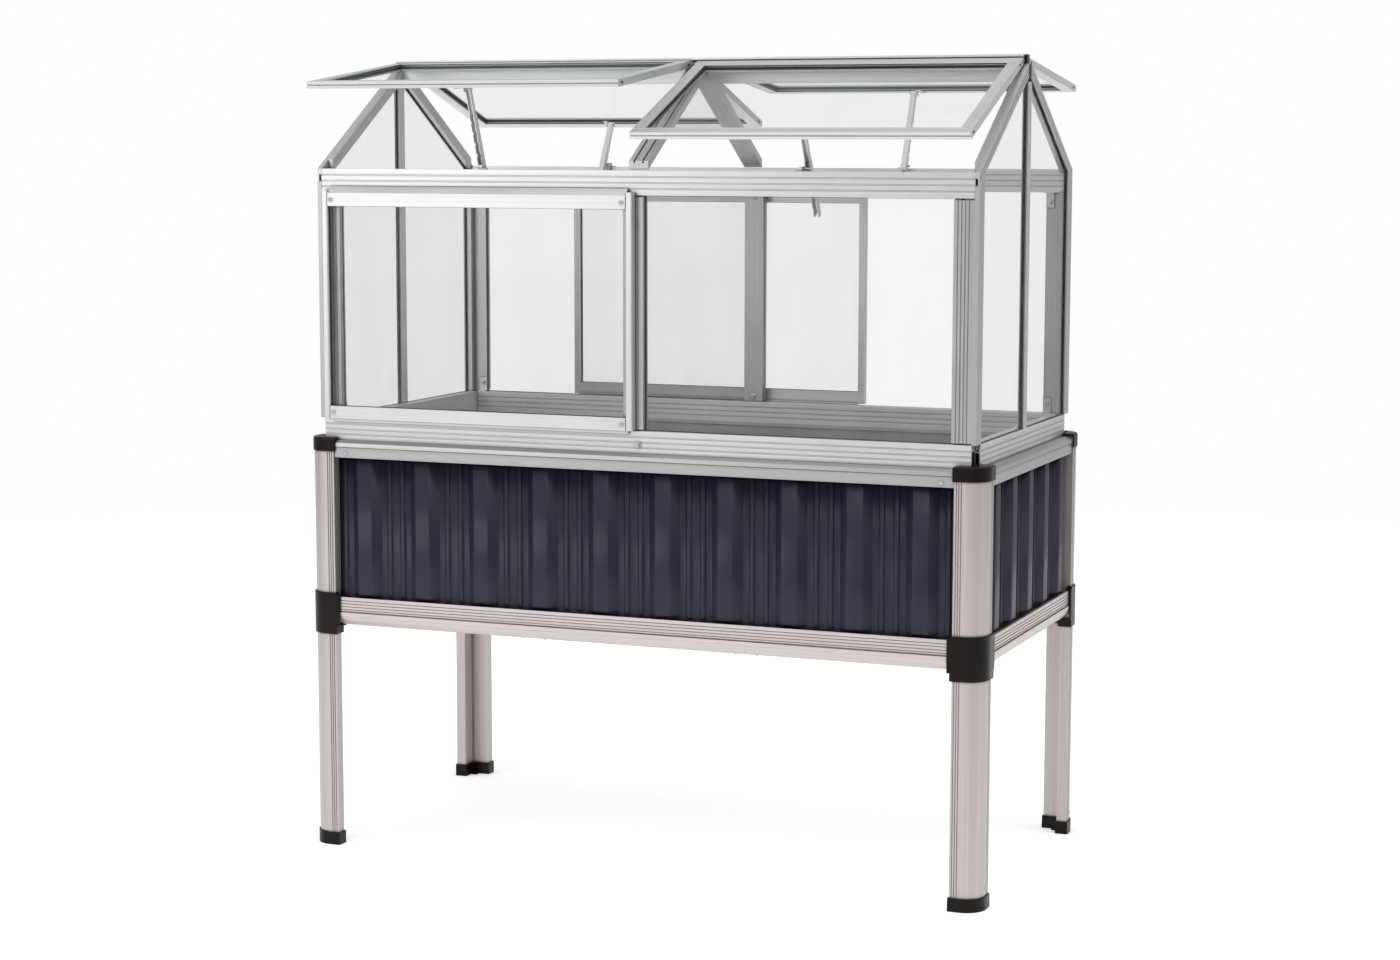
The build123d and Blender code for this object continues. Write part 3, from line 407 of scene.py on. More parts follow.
def pane_glass(name, colour, face_axis, low_z, high_z):
    """Clear horticultural glass: a pale film face on, greener cut edges, dust low down.

    face_axis is the axis that the pane's broad faces look along."""
    dust_colour = rgba((0.55, 0.55, 0.53))
    edge_colour = rgba((0.20, 0.34, 0.30))
    clean_film = 0.055
    dusty_share = 0.22
    smear_sizes = (0.05, 0.05, 0.22)
    finish = Finish(name, IOR=1.5)
    place = finish.place()
    facing = finish.node("ShaderNodeTexCoord", None, None, "Normal")
    cut_edge = finish.limited((0.75 - abs(finish.axis(facing, face_axis))) * 4.0)
    smears = finish.noise(finish.stretched(place, smear_sizes), detail=5.0, roughness=0.62)
    specks = finish.noise(place, scale=700.0, roughness=0.7)
    height = finish.axis(place, "Z")
    lower = finish.limited(1.0 - (height - low_z) / (dusty_share * (high_z - low_z)))
    dust = lower * finish.limited(smears * 1.5 - 0.2) + 0.6 * finish.limited((specks - 0.68) * 10.0)
    glance = finish.node("ShaderNodeFresnel", None, {"IOR": 1.25})
    film = clean_film + 0.03 * (smears - 0.5) + 0.04 * dust + 0.10 * glance
    clear = finish.mixed(rgba(colour), dust_colour, finish.limited(dust))
    finish.set(
        Base_Color=finish.mixed(clear, edge_colour, cut_edge),
        Roughness=finish.limited(0.03 + 0.10 * dust + 0.05 * (smears - 0.5)),
        Alpha=finish.limited(film + 0.6 * cut_edge),
    )
    return finish.material


# ---- mesh helpers ----

def new_piece(name, mesh, body, replaced=()):
    """Link a finished mesh as a piece of a body."""
    piece = bpy.data.objects.new(name, mesh)
    bpy.context.scene.collection.objects.link(piece)
    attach(piece, body)
    if replaced:
        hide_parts(*replaced)
    return piece


def dress(node, material):
    """Give a frame node its finish."""
    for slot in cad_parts[node].material_slots:
        slot.material = material


def islands(node):
    """Points of each loose part of a frame node, sorted by place."""
    same_point = 0.005 * MM
    mesh = bmesh.new()
    mesh.from_mesh(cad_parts[node].data)
    bmesh.ops.remove_doubles(mesh, verts=mesh.verts, dist=same_point)
    left = set(mesh.verts)
    found = []
    while left:
        group = [left.pop()]
        for vert in group:
            near = {edge.other_vert(vert) for edge in vert.link_edges} & left
            left -= near
            group.extend(near)
        found.append([vert.co.copy() for vert in group])
    mesh.free()
    return sorted(found, key=lambda points: tuple(round(c, 4) for c in centre_of(points)))


def corners_of(points):
    low = Vector(min(p[axis] for p in points) for axis in range(3))
    high = Vector(max(p[axis] for p in points) for axis in range(3))
    return low, high


def centre_of(points):
    low, high = corners_of(points)
    return (low + high) / 2


def thin_axis(points):
    """Index of the axis along which a set of points is thinnest."""
    low, high = corners_of(points)
    size = high - low
    return min(range(3), key=lambda axis: size[axis])


def rounded_line(points, radius, steps):
    """An open line of 2-D points with each corner turned into a short bend."""
    longest_share = 0.45
    line = [Vector(points[0])]
    for before, corner, after in zip(points, points[1:], points[2:]):
        before, corner, after = Vector(before), Vector(corner), Vector(after)
        way_in = (before - corner).normalized()
        way_out = (after - corner).normalized()
        half = way_in.angle(way_out) / 2
        shorter_run = min((before - corner).length, (after - corner).length)
        cut = min(radius / math.tan(half), shorter_run * longest_share)
        start = corner + way_in * cut
        end = corner + way_out * cut
        for step in range(steps + 1):
            share = step / steps
            line.append(start.lerp(corner, share).lerp(corner.lerp(end, share), share))
    line.append(Vector(points[-1]))
    return line


def evaluated_mesh(piece):
    """The piece's mesh with its modifiers applied."""
    depsgraph = bpy.context.evaluated_depsgraph_get()
    depsgraph.update()
    return bpy.data.meshes.new_from_object(piece.evaluated_get(depsgraph))


def scratch_object(name, mesh):
    made = bpy.data.objects.new(name, mesh)
    bpy.context.scene.collection.objects.link(made)
    return made


def drop(*objects):
    for item in objects:
        bpy.data.objects.remove(item)


# ---- geometry trees ----

class Maker(Graph):
    """A geometry tree with named inputs, ending in Realize Instances and Set Material."""

    def __init__(self, name):
        super().__init__(bpy.data.node_groups.new(name, "GeometryNodeTree"))
        self.sockets = {}
        self.add_input("Geometry", "NodeSocketGeometry")
        self.tree.interface.new_socket("Geometry", in_out="OUTPUT", socket_type="NodeSocketGeometry")
        self.entry = self.tree.nodes.new("NodeGroupInput")
        self.exit = self.tree.nodes.new("NodeGroupOutput")

    def add_input(self, name, kind):
        self.sockets[name] = self.tree.interface.new_socket(name, in_out="INPUT", socket_type=kind)

    def named(self, name):
        return Value(self, self.entry.outputs[name])

    def close(self, geometry):
        whole = self.node("GeometryNodeRealizeInstances", None, {"Geometry": geometry})
        inputs = {"Geometry": whole, "Material": self.named("Material")}
        self.feed(self.exit.inputs["Geometry"], self.node("GeometryNodeSetMaterial", None, inputs))
        return self

    def run(self, carrier, **values):
        """Apply the tree to an object and return the mesh it makes."""
        modifier = carrier.modifiers.new("maker", "NODES")
        modifier.node_group = self.tree
        for name, value in values.items():
            modifier[self.sockets[name.replace("_", " ")].identifier] = value
        mesh = evaluated_mesh(carrier)
        carrier.modifiers.clear()
        return mesh


def repeat_tree():
    """Copies a unit along a line and welds the joints between the copies."""
    maker = Maker("repeat along a line")
    maker.add_input("Count", "NodeSocketInt")
    maker.add_input("Step", "NodeSocketVector")
    maker.add_input("Weld", "NodeSocketFloat")
    maker.add_input("Material", "NodeSocketMaterial")
    line = maker.node("GeometryNodeMeshLine", {"mode": "OFFSET"},
                      {"Count": maker.named("Count"), "Offset": maker.named("Step")})
    copies = maker.node("GeometryNodeInstanceOnPoints", None,
                        {"Points": line, "Instance": maker.named("Geometry")})
    whole = maker.node("GeometryNodeRealizeInstances", None, {"Geometry": copies})
    welded = maker.node("GeometryNodeMergeByDistance", None,
                        {"Geometry": whole, "Distance": maker.named("Weld")})
    return maker.close(welded)


def fastener_tree():
    """Puts one fastener on each point, turned to face along the point's own direction."""
    maker = Maker("fasteners on points")
    maker.add_input("Fastener", "NodeSocketObject")
    maker.add_input("Material", "NodeSocketMaterial")
    facing = maker.node("GeometryNodeInputNamedAttribute", {"data_type": "FLOAT_VECTOR"},
                        {"Name": "facing"})
    turn = maker.node("FunctionNodeAlignRotationToVector", {"axis": "Z"}, {"Vector": facing})
    shape = maker.node("GeometryNodeObjectInfo", None, {"Object": maker.named("Fastener")}, "Geometry")
    copies = maker.node("GeometryNodeInstanceOnPoints", None,
                        {"Points": maker.named("Geometry"), "Instance": shape, "Rotation": turn})
    return maker.close(copies)


def seal_tree():
    """Runs a rubber strip round the edges of a pane."""
    maker = Maker("strip along edges")
    maker.add_input("Width", "NodeSocketFloat")
    maker.add_input("Height", "NodeSocketFloat")
    maker.add_input("Material", "NodeSocketMaterial")
    path = maker.node("GeometryNodeMeshToCurve", None, {"Mesh": maker.named("Geometry")})
    section = maker.node("GeometryNodeCurvePrimitiveQuadrilateral", None,
                         {"Width": maker.named("Width"), "Height": maker.named("Height")})
    strip = maker.node("GeometryNodeCurveToMesh", None,
                       {"Curve": path, "Profile Curve": section, "Fill Caps": True})
    return maker.close(strip)


# ---- settings ----

class FinishColours(bpy.types.PropertyGroup):
    leg_metal: FloatVectorProperty(
        name="Leg metal", description="Anodised aluminium of legs and bottom rails", subtype="COLOR",
        default=(0.48, 0.435, 0.43), min=0.0, max=1.0)
    frame_metal: FloatVectorProperty(
        name="Frame metal", description="Mill-finish aluminium of the house and the planter's top rails",
        subtype="COLOR", default=(0.60, 0.60, 0.605), min=0.0, max=1.0)
    stay_metal: FloatVectorProperty(
        name="Stay metal", description="Aluminium of the vent stays and hooks", subtype="COLOR",
        default=(0.62, 0.62, 0.625), min=0.0, max=1.0)
    plastic: FloatVectorProperty(
        name="Plastic", description="Moulded corner pieces, feet and plugs", subtype="COLOR",
        default=(0.0042, 0.0023, 0.0020), min=0.0, max=1.0)
    sheet: FloatVectorProperty(
        name="Sheet paint", description="Powder coat of the ribbed sheets", subtype="COLOR",
        default=(0.017, 0.0145, 0.031), min=0.0, max=1.0)
    sheet_back: FloatVectorProperty(
        name="Sheet back coat", description="Pale coat on the soil side of the ribbed sheets",
        subtype="COLOR", default=(0.72, 0.72, 0.72), min=0.0, max=1.0)
    zinc: FloatVectorProperty(
        name="Zinc", description="Galvanised floor of the planter", subtype="COLOR",
        default=(0.84, 0.84, 0.84), min=0.0, max=1.0)
    screws: FloatVectorProperty(
        name="Screws", description="Plated screws, bolts and corner brackets", subtype="COLOR",
        default=(0.62, 0.62, 0.61), min=0.0, max=1.0)
    rubber: FloatVectorProperty(
        name="Rubber", description="Glazing seals", subtype="COLOR",
        default=(0.020, 0.020, 0.021), min=0.0, max=1.0)
    glass: FloatVectorProperty(
        name="Glass film", description="Colour of the thin film on the glass", subtype="COLOR",
        default=(0.16, 0.18, 0.18), min=0.0, max=1.0)


class FittingSizes(bpy.types.PropertyGroup):
    rib_pitch: FloatProperty(
        name="Rib pitch", description="Distance between the broad ribs of a sheet", unit="LENGTH",
        default=0.11)
    rib_face: FloatProperty(
        name="Rib face", description="Flat width on top of a broad rib", unit="LENGTH", default=0.026)
    rib_slope: FloatProperty(
        name="Rib slope", description="Width of a rib's sloping side", unit="LENGTH", default=0.014)
    fine_rib: FloatProperty(
        name="Fine rib", description="Width of a fine rib in the valley", unit="LENGTH", default=0.010)
    fine_rib_rise: FloatProperty(
        name="Fine rib rise", description="Height of a fine rib", unit="LENGTH", default=0.0026)
    rib_end: FloatProperty(
        name="Rib end", description="Length over which the ribs run out at the lower rail", unit="LENGTH",
        default=0.008)
    sheet_thickness: FloatProperty(
        name="Sheet thickness", description="Thickness of the ribbed steel", unit="LENGTH", default=0.0008)
    screw_radius: FloatProperty(
        name="Screw head radius", description="Radius of a pan head", unit="LENGTH", default=0.0036)
    screw_rise: FloatProperty(
        name="Screw head rise", description="Height of a pan head", unit="LENGTH", default=0.0022)
    nut_radius: FloatProperty(
        name="Nut radius", description="Half the distance across the corners of a nut", unit="LENGTH",
        default=0.0046)
    nut_rise: FloatProperty(
        name="Nut height", description="Height of a nut over its washer", unit="LENGTH", default=0.0034)
    washer_radius: FloatProperty(
        name="Washer radius", description="Radius of the washer under a nut", unit="LENGTH", default=0.0058)
    seal_width: FloatProperty(
        name="Seal width", description="Width of a glazing seal on the glass", unit="LENGTH",
        default=0.0012)
    seal_rise: FloatProperty(
        name="Seal rise", description="Height of a glazing seal over the glass", unit="LENGTH",
        default=0.0007)
    seal_inset: FloatProperty(
        name="Seal inset", description="Distance from a pane's cut edge to its seal", unit="LENGTH",
        default=0.0080)


class StageSettings(bpy.types.PropertyGroup):
    floor_radius: FloatProperty(
        name="Floor radius", description="Radius of the pale floor", unit="LENGTH", default=4.6)
    camera_turn: FloatProperty(
        name="Camera turn", description="Angle of the camera round the object from the front",
        subtype="ANGLE", default=math.radians(21.9))
    camera_pitch: FloatProperty(
        name="Camera pitch", description="Angle that the camera looks down", subtype="ANGLE",
        default=math.radians(7.02))
    camera_roll: FloatProperty(
        name="Camera roll", description="Tilt of the camera about its view line", subtype="ANGLE",
        default=math.radians(0.09))
    camera_distance: FloatProperty(
        name="Camera distance", description="Distance from the aim point", unit="LENGTH", default=4.767)
    aim_height: FloatProperty(
        name="Aim height", description="Height of the point that the camera looks at", unit="LENGTH",
        default=0.630)
    aim_aside: FloatProperty(
        name="Aim aside", description="Distance of that point from the middle, towards the right",
        unit="LENGTH", default=0.003)
    lens: FloatProperty(
        name="Lens", description="Focal length on a 36 mm wide sensor", unit="CAMERA", default=70.7)
    light: FloatProperty(
        name="Light", description="Strength of the soft surroundings", default=1.0, min=0.0)


class ColdFrameOperator:
    """What the operators share."""
    bl_options = {"REGISTER", "UNDO"}

    def colours(self):
        return bpy.context.scene.cold_frame_colours

    def sizes(self):
        return bpy.context.scene.cold_frame_sizes


# ---- planter ----

class FinishPlanter(ColdFrameOperator, bpy.types.Operator):
    """Anodised legs, posts and bottom rails, mill finish top rails, plastic corner pieces, zinc floor"""
    bl_idname = "cold_frame.finish_planter"
    bl_label = "Planter finishes"

    def execute(self, context):
        anodised = self.colours().leg_metal
        upright = extruded_metal("anodised upright", anodised, ALONG_Z, roughness=0.40)
        for corner in CORNERS:
            dress("leg_" + corner, upright)
        dress("upper_posts", upright)
        # Lighter and darker copies of the metal, as painted light and shade
        bottom_colour = shaded(anodised, BOTTOM_RAIL_PAINTED_LIGHT)
        top_colour = shaded(self.colours().frame_metal, TOP_RAIL_PAINTED_SHADE)
        runs = {"long": (ALONG_X, ("front", "back")), "side": (ALONG_Y, ("left", "right"))}
        for run, (grain, sides) in runs.items():
            bottom = extruded_metal(f"anodised {run} rail", bottom_colour, grain, roughness=0.40)
            top = extruded_metal(f"mill finish {run} rail", top_colour, grain)
            for side in sides:
                dress("bottom_rail_" + side, bottom)
                dress("top_rail_" + side, top)
        plastic = moulded_plastic("moulded plastic", self.colours().plastic)
        for node in ("feet", "post_caps", "corner_connectors", "end_caps"):
            dress(node, plastic)
        zinc = zinc_sheet("galvanised floor", self.colours().zinc)
        dress("floor_tray", zinc)
        dress("floor_bearers", zinc)
        return {"FINISHED"}


class MakeRibbedSheets(ColdFrameOperator, bpy.types.Operator):
    """Pressed sheets between the rails, with broad and fine ribs that run out at the lower rail"""
    bl_idname = "cold_frame.make_ribbed_sheets"
    bl_label = "Ribbed sheets"
    # Share of half a valley that lies before its fine rib
    fine_rib_start = 0.26
    fine_rib_side = 1.6 * MM
    bend_radius = 2.4 * MM
    bend_steps = 3
    end_steps = 4
    covered_by_rail = 1.5 * MM
    weld = 0.05 * MM

    def section(self, pitch, depth):
        """One pitch of the sheet as (along, outward), from valley middle to valley middle."""
        sizes = self.sizes()
        foot = (pitch - sizes.rib_face) / 2 - sizes.rib_slope
        inner = foot * self.fine_rib_start
        outer = inner + sizes.fine_rib
        rise = sizes.fine_rib_rise
        side = self.fine_rib_side
        half = [(0.0, 0.0), (inner, 0.0), (inner + side, rise), (outer - side, rise), (outer, 0.0),
                (foot, 0.0), (foot + sizes.rib_slope, depth)]
        mirrored = [(pitch - along, out) for along, out in reversed(half)]
        return rounded_line(half + mirrored, self.bend_radius, self.bend_steps)

    def heights(self, low, high, shown_low):
        """Heights of the sheet's rows with how far the ribs have risen there."""
        rows = [(low, 0.0)]
        for step in range(self.end_steps + 1):
            share = step / self.end_steps
            risen = math.sin(math.radians(90 * share))
            rows.append((shown_low + self.sizes().rib_end * share, risen))
        rows.append((high, 1.0))
        return rows

    def unit(self, pitch, depth, rows):
        """One pitch of sheet standing on its lower edge, along +X, ribs towards -Y."""
        mesh = bmesh.new()
        line = self.section(pitch, depth)
        grid = [[mesh.verts.new((p.x, -p.y * risen, z)) for p in line] for z, risen in rows]
        for lower, upper in zip(grid, grid[1:]):
            for index in range(len(line) - 1):
                mesh.faces.new((lower[index], lower[index + 1], upper[index + 1], upper[index]))
        made = bpy.data.meshes.new("sheet unit")
        mesh.to_mesh(made)
        mesh.free()
        return made

    def execute(self, context):
        sizes = self.sizes()
        colours = self.colours()
        paints = {
            "X": painted_sheet("slate powder coat short", colours.sheet, colours.sheet_back, "X"),
            "Y": painted_sheet("slate powder coat long", colours.sheet, colours.sheet_back, "Y"),
        }
        repeat = repeat_tree()
        turns = {"front": 0, "right": 90, "back": 180, "left": 270}
        shown_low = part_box("bottom_rail_front")[1].z - self.covered_by_rail
        for side, turn in turns.items():
            low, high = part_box("panel_" + side)
            along, through = "yx" if side in ("left", "right") else "xy"
            length = getattr(high, along) - getattr(low, along)
            near, far = getattr(low, through), getattr(high, through)
            depth = far - near - sizes.sheet_thickness
            outer = max(abs(near), abs(far))
            count = round(length / sizes.rib_pitch)
            pitch = length / count
            rows = self.heights(low.z, high.z, shown_low)
            carrier = scratch_object("sheet carrier", self.unit(pitch, depth, rows))
            mesh = repeat.run(carrier, Count=count, Step=(pitch, 0.0, 0.0), Weld=self.weld,
                              Material=paints[through.upper()])
            drop(carrier)
            turned = Matrix.Rotation(math.radians(turn), 4, "Z")
            mesh.transform(turned @ Matrix.Translation((-length / 2, -outer + depth, 0.0)))
            mesh.shade_smooth()
            piece = new_piece("ribbed_sheet_" + side, mesh, "root", ["panel_" + side])
            wall = piece.modifiers.new("sheet thickness", "SOLIDIFY")
            wall.thickness = sizes.sheet_thickness
            wall.offset = -1.0
            piece.data = evaluated_mesh(piece)
            piece.modifiers.clear()
        return {"FINISHED"}


# ---- house ----

class FinishHouse(ColdFrameOperator, bpy.types.Operator):
    """Mill finish on the beams, posts, rafters and ridge of the house, and its hooks and brackets"""
    bl_idname = "cold_frame.finish_house"
    bl_label = "House finishes"

    def execute(self, context):
        colour = self.colours().frame_metal
        low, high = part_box("gable_rafters_left")
        slope = math.atan2(high.z - low.z, high.y)
        lengthwise = extruded_metal("mill finish beam", colour, ALONG_X)
        crosswise = extruded_metal("mill finish side beam", colour, ALONG_Y)
        upright = extruded_metal("mill finish upright", colour, ALONG_Z)
        # Darker copies of the frame metal, as painted shade
        post = extruded_metal("mill finish corner post", shaded(colour, CORNER_POST_PAINTED_SHADE), ALONG_Z)
        middle = extruded_metal("mill finish centre mullion", shaded(colour, CENTRE_MULLION_PAINTED_SHADE), ALONG_Z)
        sloping = extruded_metal("mill finish rafter", shaded(colour, RAFTER_PAINTED_SHADE), Grain("Y", -slope))
        hook = extruded_metal("hook bracket", self.colours().stay_metal, ALONG_X, roughness=0.42)
        bracket = plated_steel("bracket steel", self.colours().screws)
        finishes = (
            (lengthwise, ("base_beam_front", "base_beam_back", "eave_beam_front", "eave_beam_back",
                          "ridge_beam")),
            (crosswise, ("base_beam_left", "base_beam_right")),
            (upright, ("gable_mullion_left", "gable_mullion_right")),
            (post, ("corner_posts",)),
            (middle, ("centre_mullions",)),
            (sloping, ("gable_rafters_left", "gable_rafters_right", "centre_rafters")),
            (hook, ("stay_brackets",)),
            (bracket, ("corner_brackets",)),
        )
        for finish, nodes in finishes:
            for node in nodes:
                dress(node, finish)
        return {"FINISHED"}


class FinishMovingFrames(ColdFrameOperator, bpy.types.Operator):
    """Mill finish on the sliding doors, the roof vents and their stays"""
    bl_idname = "cold_frame.finish_moving_frames"
    bl_label = "Door and vent finishes"

    def framed(self, node, stile, side_grain):
        """Metal whose lines follow the rails, and turn at the stiles that close the two ends."""
        low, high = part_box(node)
        ends = (low.x + stile, high.x - stile)
        return extruded_metal("mill finish " + node, self.colours().frame_metal, ALONG_X, roughness=0.34,
                              end_grain=side_grain, ends=ends)

    def execute(self, context):
        for door in ("front_door", "back_door"):
            dress(door + "_frame", self.framed(door + "_frame", DOOR_STILE, ALONG_Z))
        for vent in CORNERS:
            node = f"vent_{vent}_frame"
            low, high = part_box(node)
            away = max(abs(low.y), abs(high.y))
            slope = math.atan2(high.z - low.z, away)
            dress(node, self.framed(node, VENT_STILE, Grain("Y", -slope)))
            # The stays get only a little painted shade in their grooves
            stay = extruded_metal("stay " + vent, self.colours().stay_metal, ALONG_Z, roughness=0.42,
                                  painted_groove_shade=0.15)
            dress("stay_" + vent, stay)
        return {"FINISHED"}


class FinishGlass(ColdFrameOperator, bpy.types.Operator):
    """Clear glass in the gables, the fixed bays, the doors and the vents"""
    bl_idname = "cold_frame.finish_glass"
    bl_label = "Glass"

    def execute(self, context):
        faces = {"gable_panes": "X", "fixed_panes": "Y", "front_door_pane": "Y", "back_door_pane": "Y"}
        faces.update({f"vent_{vent}_pane": "Z" for vent in CORNERS})
        for node, axis in faces.items():
            low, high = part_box(node)
            dress(node, pane_glass("glass " + node, self.colours().glass, axis, low.z, high.z))
        return {"FINISHED"}


class MakeSeals(ColdFrameOperator, bpy.types.Operator):
    """Black glazing seals where the glass enters its frames, one piece for each body"""
    bl_idname = "cold_frame.make_seals"
    bl_label = "Glazing seals"

    def pane_plane(self, points):
        """Two directions in the plane of a pane, and its normal."""
        thin = 5 * MM
        low, high = corners_of(points)
        size = high - low
        if size.x < thin:
            return Vector((0, 1, 0)), Vector((0, 0, 1)), Vector((1, 0, 0))
        lowest = min(points, key=lambda p: p.z)
        highest = max(points, key=lambda p: p.z)
        slope = highest - lowest
        slope.x = 0.0
        up = Vector((0, 0, 1)) if size.y < thin else slope.normalized()
        across = Vector((1, 0, 0))
        return across, up, across.cross(up)

    def outline(self, points, across, up):
        """The pane's outline in its plane, going round once."""
        straight = 1e-9
        flat = sorted({(round(p.dot(across), 5), round(p.dot(up), 5)) for p in points})

        def turn_of(a, b, c):
            return (b[0] - a[0]) * (c[1] - a[1]) - (b[1] - a[1]) * (c[0] - a[0])

        def half_way_round(items):
            found = []
            for item in items:
                while len(found) > 1 and turn_of(found[-2], found[-1], item) <= straight:
                    found.pop()
                found.append(item)
            return found[:-1]

        return [Vector(item) for item in half_way_round(flat) + half_way_round(flat[::-1])]

    def inset(self, outline, distance):
        """A convex outline moved inwards."""
        moved = []
        count = len(outline)
        for index in range(count):
            before, corner, after = outline[index - 1], outline[index], outline[(index + 1) % count]
            first = (corner - before).normalized()
            second = (after - corner).normalized()
            inward = Vector((-first.y, first.x)) + Vector((-second.y, second.x))
            inward.normalize()
            half = math.cos(first.angle(second) / 2)
            moved.append(corner + inward * distance / half)
        return moved

    def loops(self, node):
        """Seal paths on both faces of each pane of a node."""
        sizes = self.sizes()
        paths = []
        for points in islands(node):
            across, up, normal = self.pane_plane(points)
            ring = self.inset(self.outline(points, across, up), sizes.seal_inset)
            depths = [p.dot(normal) for p in points]
            for depth in (min(depths) - sizes.seal_rise / 2, max(depths) + sizes.seal_rise / 2):
                paths.append([across * p.x + up * p.y + normal * depth for p in ring])
        return paths

    def path_mesh(self, paths):
        verts, edges = [], []
        for path in paths:
            first = len(verts)
            verts += path
            count = len(path)
            edges += [(first + index, first + (index + 1) % count) for index in range(count)]
        mesh = bpy.data.meshes.new("seal paths")
        mesh.from_pydata(verts, edges, [])
        return mesh

    def execute(self, context):
        sizes = self.sizes()
        rubber = seal_rubber("glazing rubber", self.colours().rubber)
        strip = seal_tree()
        groups = {"root": ["gable_panes", "fixed_panes"], "front_door": ["front_door_pane"],
                  "back_door": ["back_door_pane"]}
        groups.update({"vent_" + vent: [f"vent_{vent}_pane"] for vent in CORNERS})
        for body, nodes in groups.items():
            paths = [path for node in nodes for path in self.loops(node)]
            carrier = scratch_object("seal carrier", self.path_mesh(paths))
            mesh = strip.run(carrier, Width=sizes.seal_width, Height=sizes.seal_rise, Material=rubber)
            drop(carrier)
            new_piece("glazing_seals_" + body, mesh, body)
        return {"FINISHED"}


# ---- fasteners ----

class MakeFasteners(ColdFrameOperator, bpy.types.Operator):
    """Pan-head screws on the planter and the doors, nuts and washers in the house"""
    bl_idname = "cold_frame.make_fasteners"
    bl_label = "Screws and nuts"

    def turned(self, name, profile, sides):
        """A solid of revolution about Z from (radius, height) points, closed on the axis."""
        mesh = bmesh.new()
        rings = []
        for radius, height in profile:
            if radius == 0:
                rings.append([mesh.verts.new((0, 0, height))])
                continue
            ring = []
            for side in range(sides):
                angle = 2 * math.pi * side / sides
                ring.append(mesh.verts.new((radius * math.cos(angle), radius * math.sin(angle), height)))
            rings.append(ring)
        for lower, upper in zip(rings, rings[1:]):
            for side in range(sides):
                after = (side + 1) % sides
                corners = [lower[side % len(lower)], lower[after % len(lower)],
                           upper[after % len(upper)], upper[side % len(upper)]]
                mesh.faces.new(list(dict.fromkeys(corners)))
        bmesh.ops.recalc_face_normals(mesh, faces=mesh.faces)
        made = bpy.data.meshes.new(name)
        mesh.to_mesh(made)
        mesh.free()
        return made

    def screw(self):
        """Domed head with a cross recess."""
        radius, rise = self.sizes().screw_radius, self.sizes().screw_rise
        sunk = 0.2 * MM
        rim = 0.25 * rise
        dome_steps = 5
        profile = [(0.0, -sunk), (radius, -sunk), (radius, rim)]
        for step in range(1, dome_steps):
            angle = math.radians(90 * step / dome_steps)
            profile.append((radius * math.cos(angle), rim + (rise - rim) * math.sin(angle)))
        profile.append((0.0, rise))
        head = scratch_object("screw head", self.turned("screw head", profile, 24))
        arm = 1.24 * radius
        slot = 0.30 * radius
        recess_height = 2 * rise
        recess_floor = 0.35 * rise
        middle = recess_floor + recess_height / 2
        for wide, deep in ((arm, slot), (slot, arm)):
            cutter = bmesh.new()
            bmesh.ops.create_cube(cutter, size=1.0)
            bmesh.ops.scale(cutter, vec=(wide, deep, recess_height), verts=cutter.verts)
            bmesh.ops.translate(cutter, vec=(0, 0, middle), verts=cutter.verts)
            shape = bpy.data.meshes.new("recess")
            cutter.to_mesh(shape)
            cutter.free()
            tool = scratch_object("recess", shape)
            cut = head.modifiers.new("recess", "BOOLEAN")
            cut.operation = "DIFFERENCE"
            cut.solver = "EXACT"
            cut.object = tool
            head.data = evaluated_mesh(head)
            head.modifiers.clear()
            drop(tool)
        return head

    def nut(self):
        """Washer, chamfered hexagon nut and the threaded end of the bolt."""
        sizes = self.sizes()
        radius, washer = sizes.nut_radius, sizes.washer_radius
        base = 0.9 * MM
        top = base + sizes.nut_rise
        bolt = radius * 0.52
        bore = bolt * 1.1
        bore_floor = top - 0.4 * MM
        washer_profile = [(0, 0), (washer, 0), (washer, base - 0.2 * MM), (washer - 0.3 * MM, base),
                          (0, base)]
        nut_profile = [(0, base), (radius * 0.94, base), (radius, base + 0.5 * MM),
                       (radius, top - 0.6 * MM), (radius * 0.88, top), (bore, top), (bore, bore_floor),
                       (0, bore_floor)]
        bolt_profile = self.thread(bolt, top - 0.5 * MM, 2.2 * MM)
        parts = [
            self.turned("washer", washer_profile, 28),
            self.turned("nut", nut_profile, 6),
            self.turned("bolt end", bolt_profile, 20),
        ]
        whole = bmesh.new()
        for part in parts:
            whole.from_mesh(part)
            bpy.data.meshes.remove(part)
        made = bpy.data.meshes.new("nut")
        whole.to_mesh(made)
        whole.free()
        return scratch_object("nut", made)

    def thread(self, radius, base, length):
        """Profile of a threaded end with a chamfered tip."""
        pitch = 0.7 * MM
        root = radius * 0.88
        profile = [(0.0, base), (radius, base)]
        for turn in range(int(length / pitch)):
            profile.append((root, base + (turn + 0.5) * pitch))
            profile.append((radius, base + (turn + 1.0) * pitch))
        tip = base + length + 0.3 * MM
        return profile + [(radius * 0.7, tip), (0.0, tip)]

    def point_mesh(self, places):
        """Points with the direction that each fastener faces."""
        mesh = bpy.data.meshes.new("fastener places")
        mesh.from_pydata([place for place, facing in places], [], [])
        facing = mesh.attributes.new("facing", "FLOAT_VECTOR", "POINT")
        facing.data.foreach_set("vector", [c for place, way in places for c in way])
        return mesh

    def cad_places(self, node, faces_inwards):
        """Seats and directions of a frame node's fasteners, read from its loose parts."""
        places = []
        for points in islands(node):
            low, high = corners_of(points)
            centre = (low + high) / 2
            axis = thin_axis(points)
            way = Vector((0, 0, 0))
            way[axis] = math.copysign(1.0, centre[axis]) * (-1 if faces_inwards(centre) else 1)
            seat = centre.copy()
            seat[axis] = low[axis] if way[axis] > 0 else high[axis]
            places.append((seat, way))
        return places

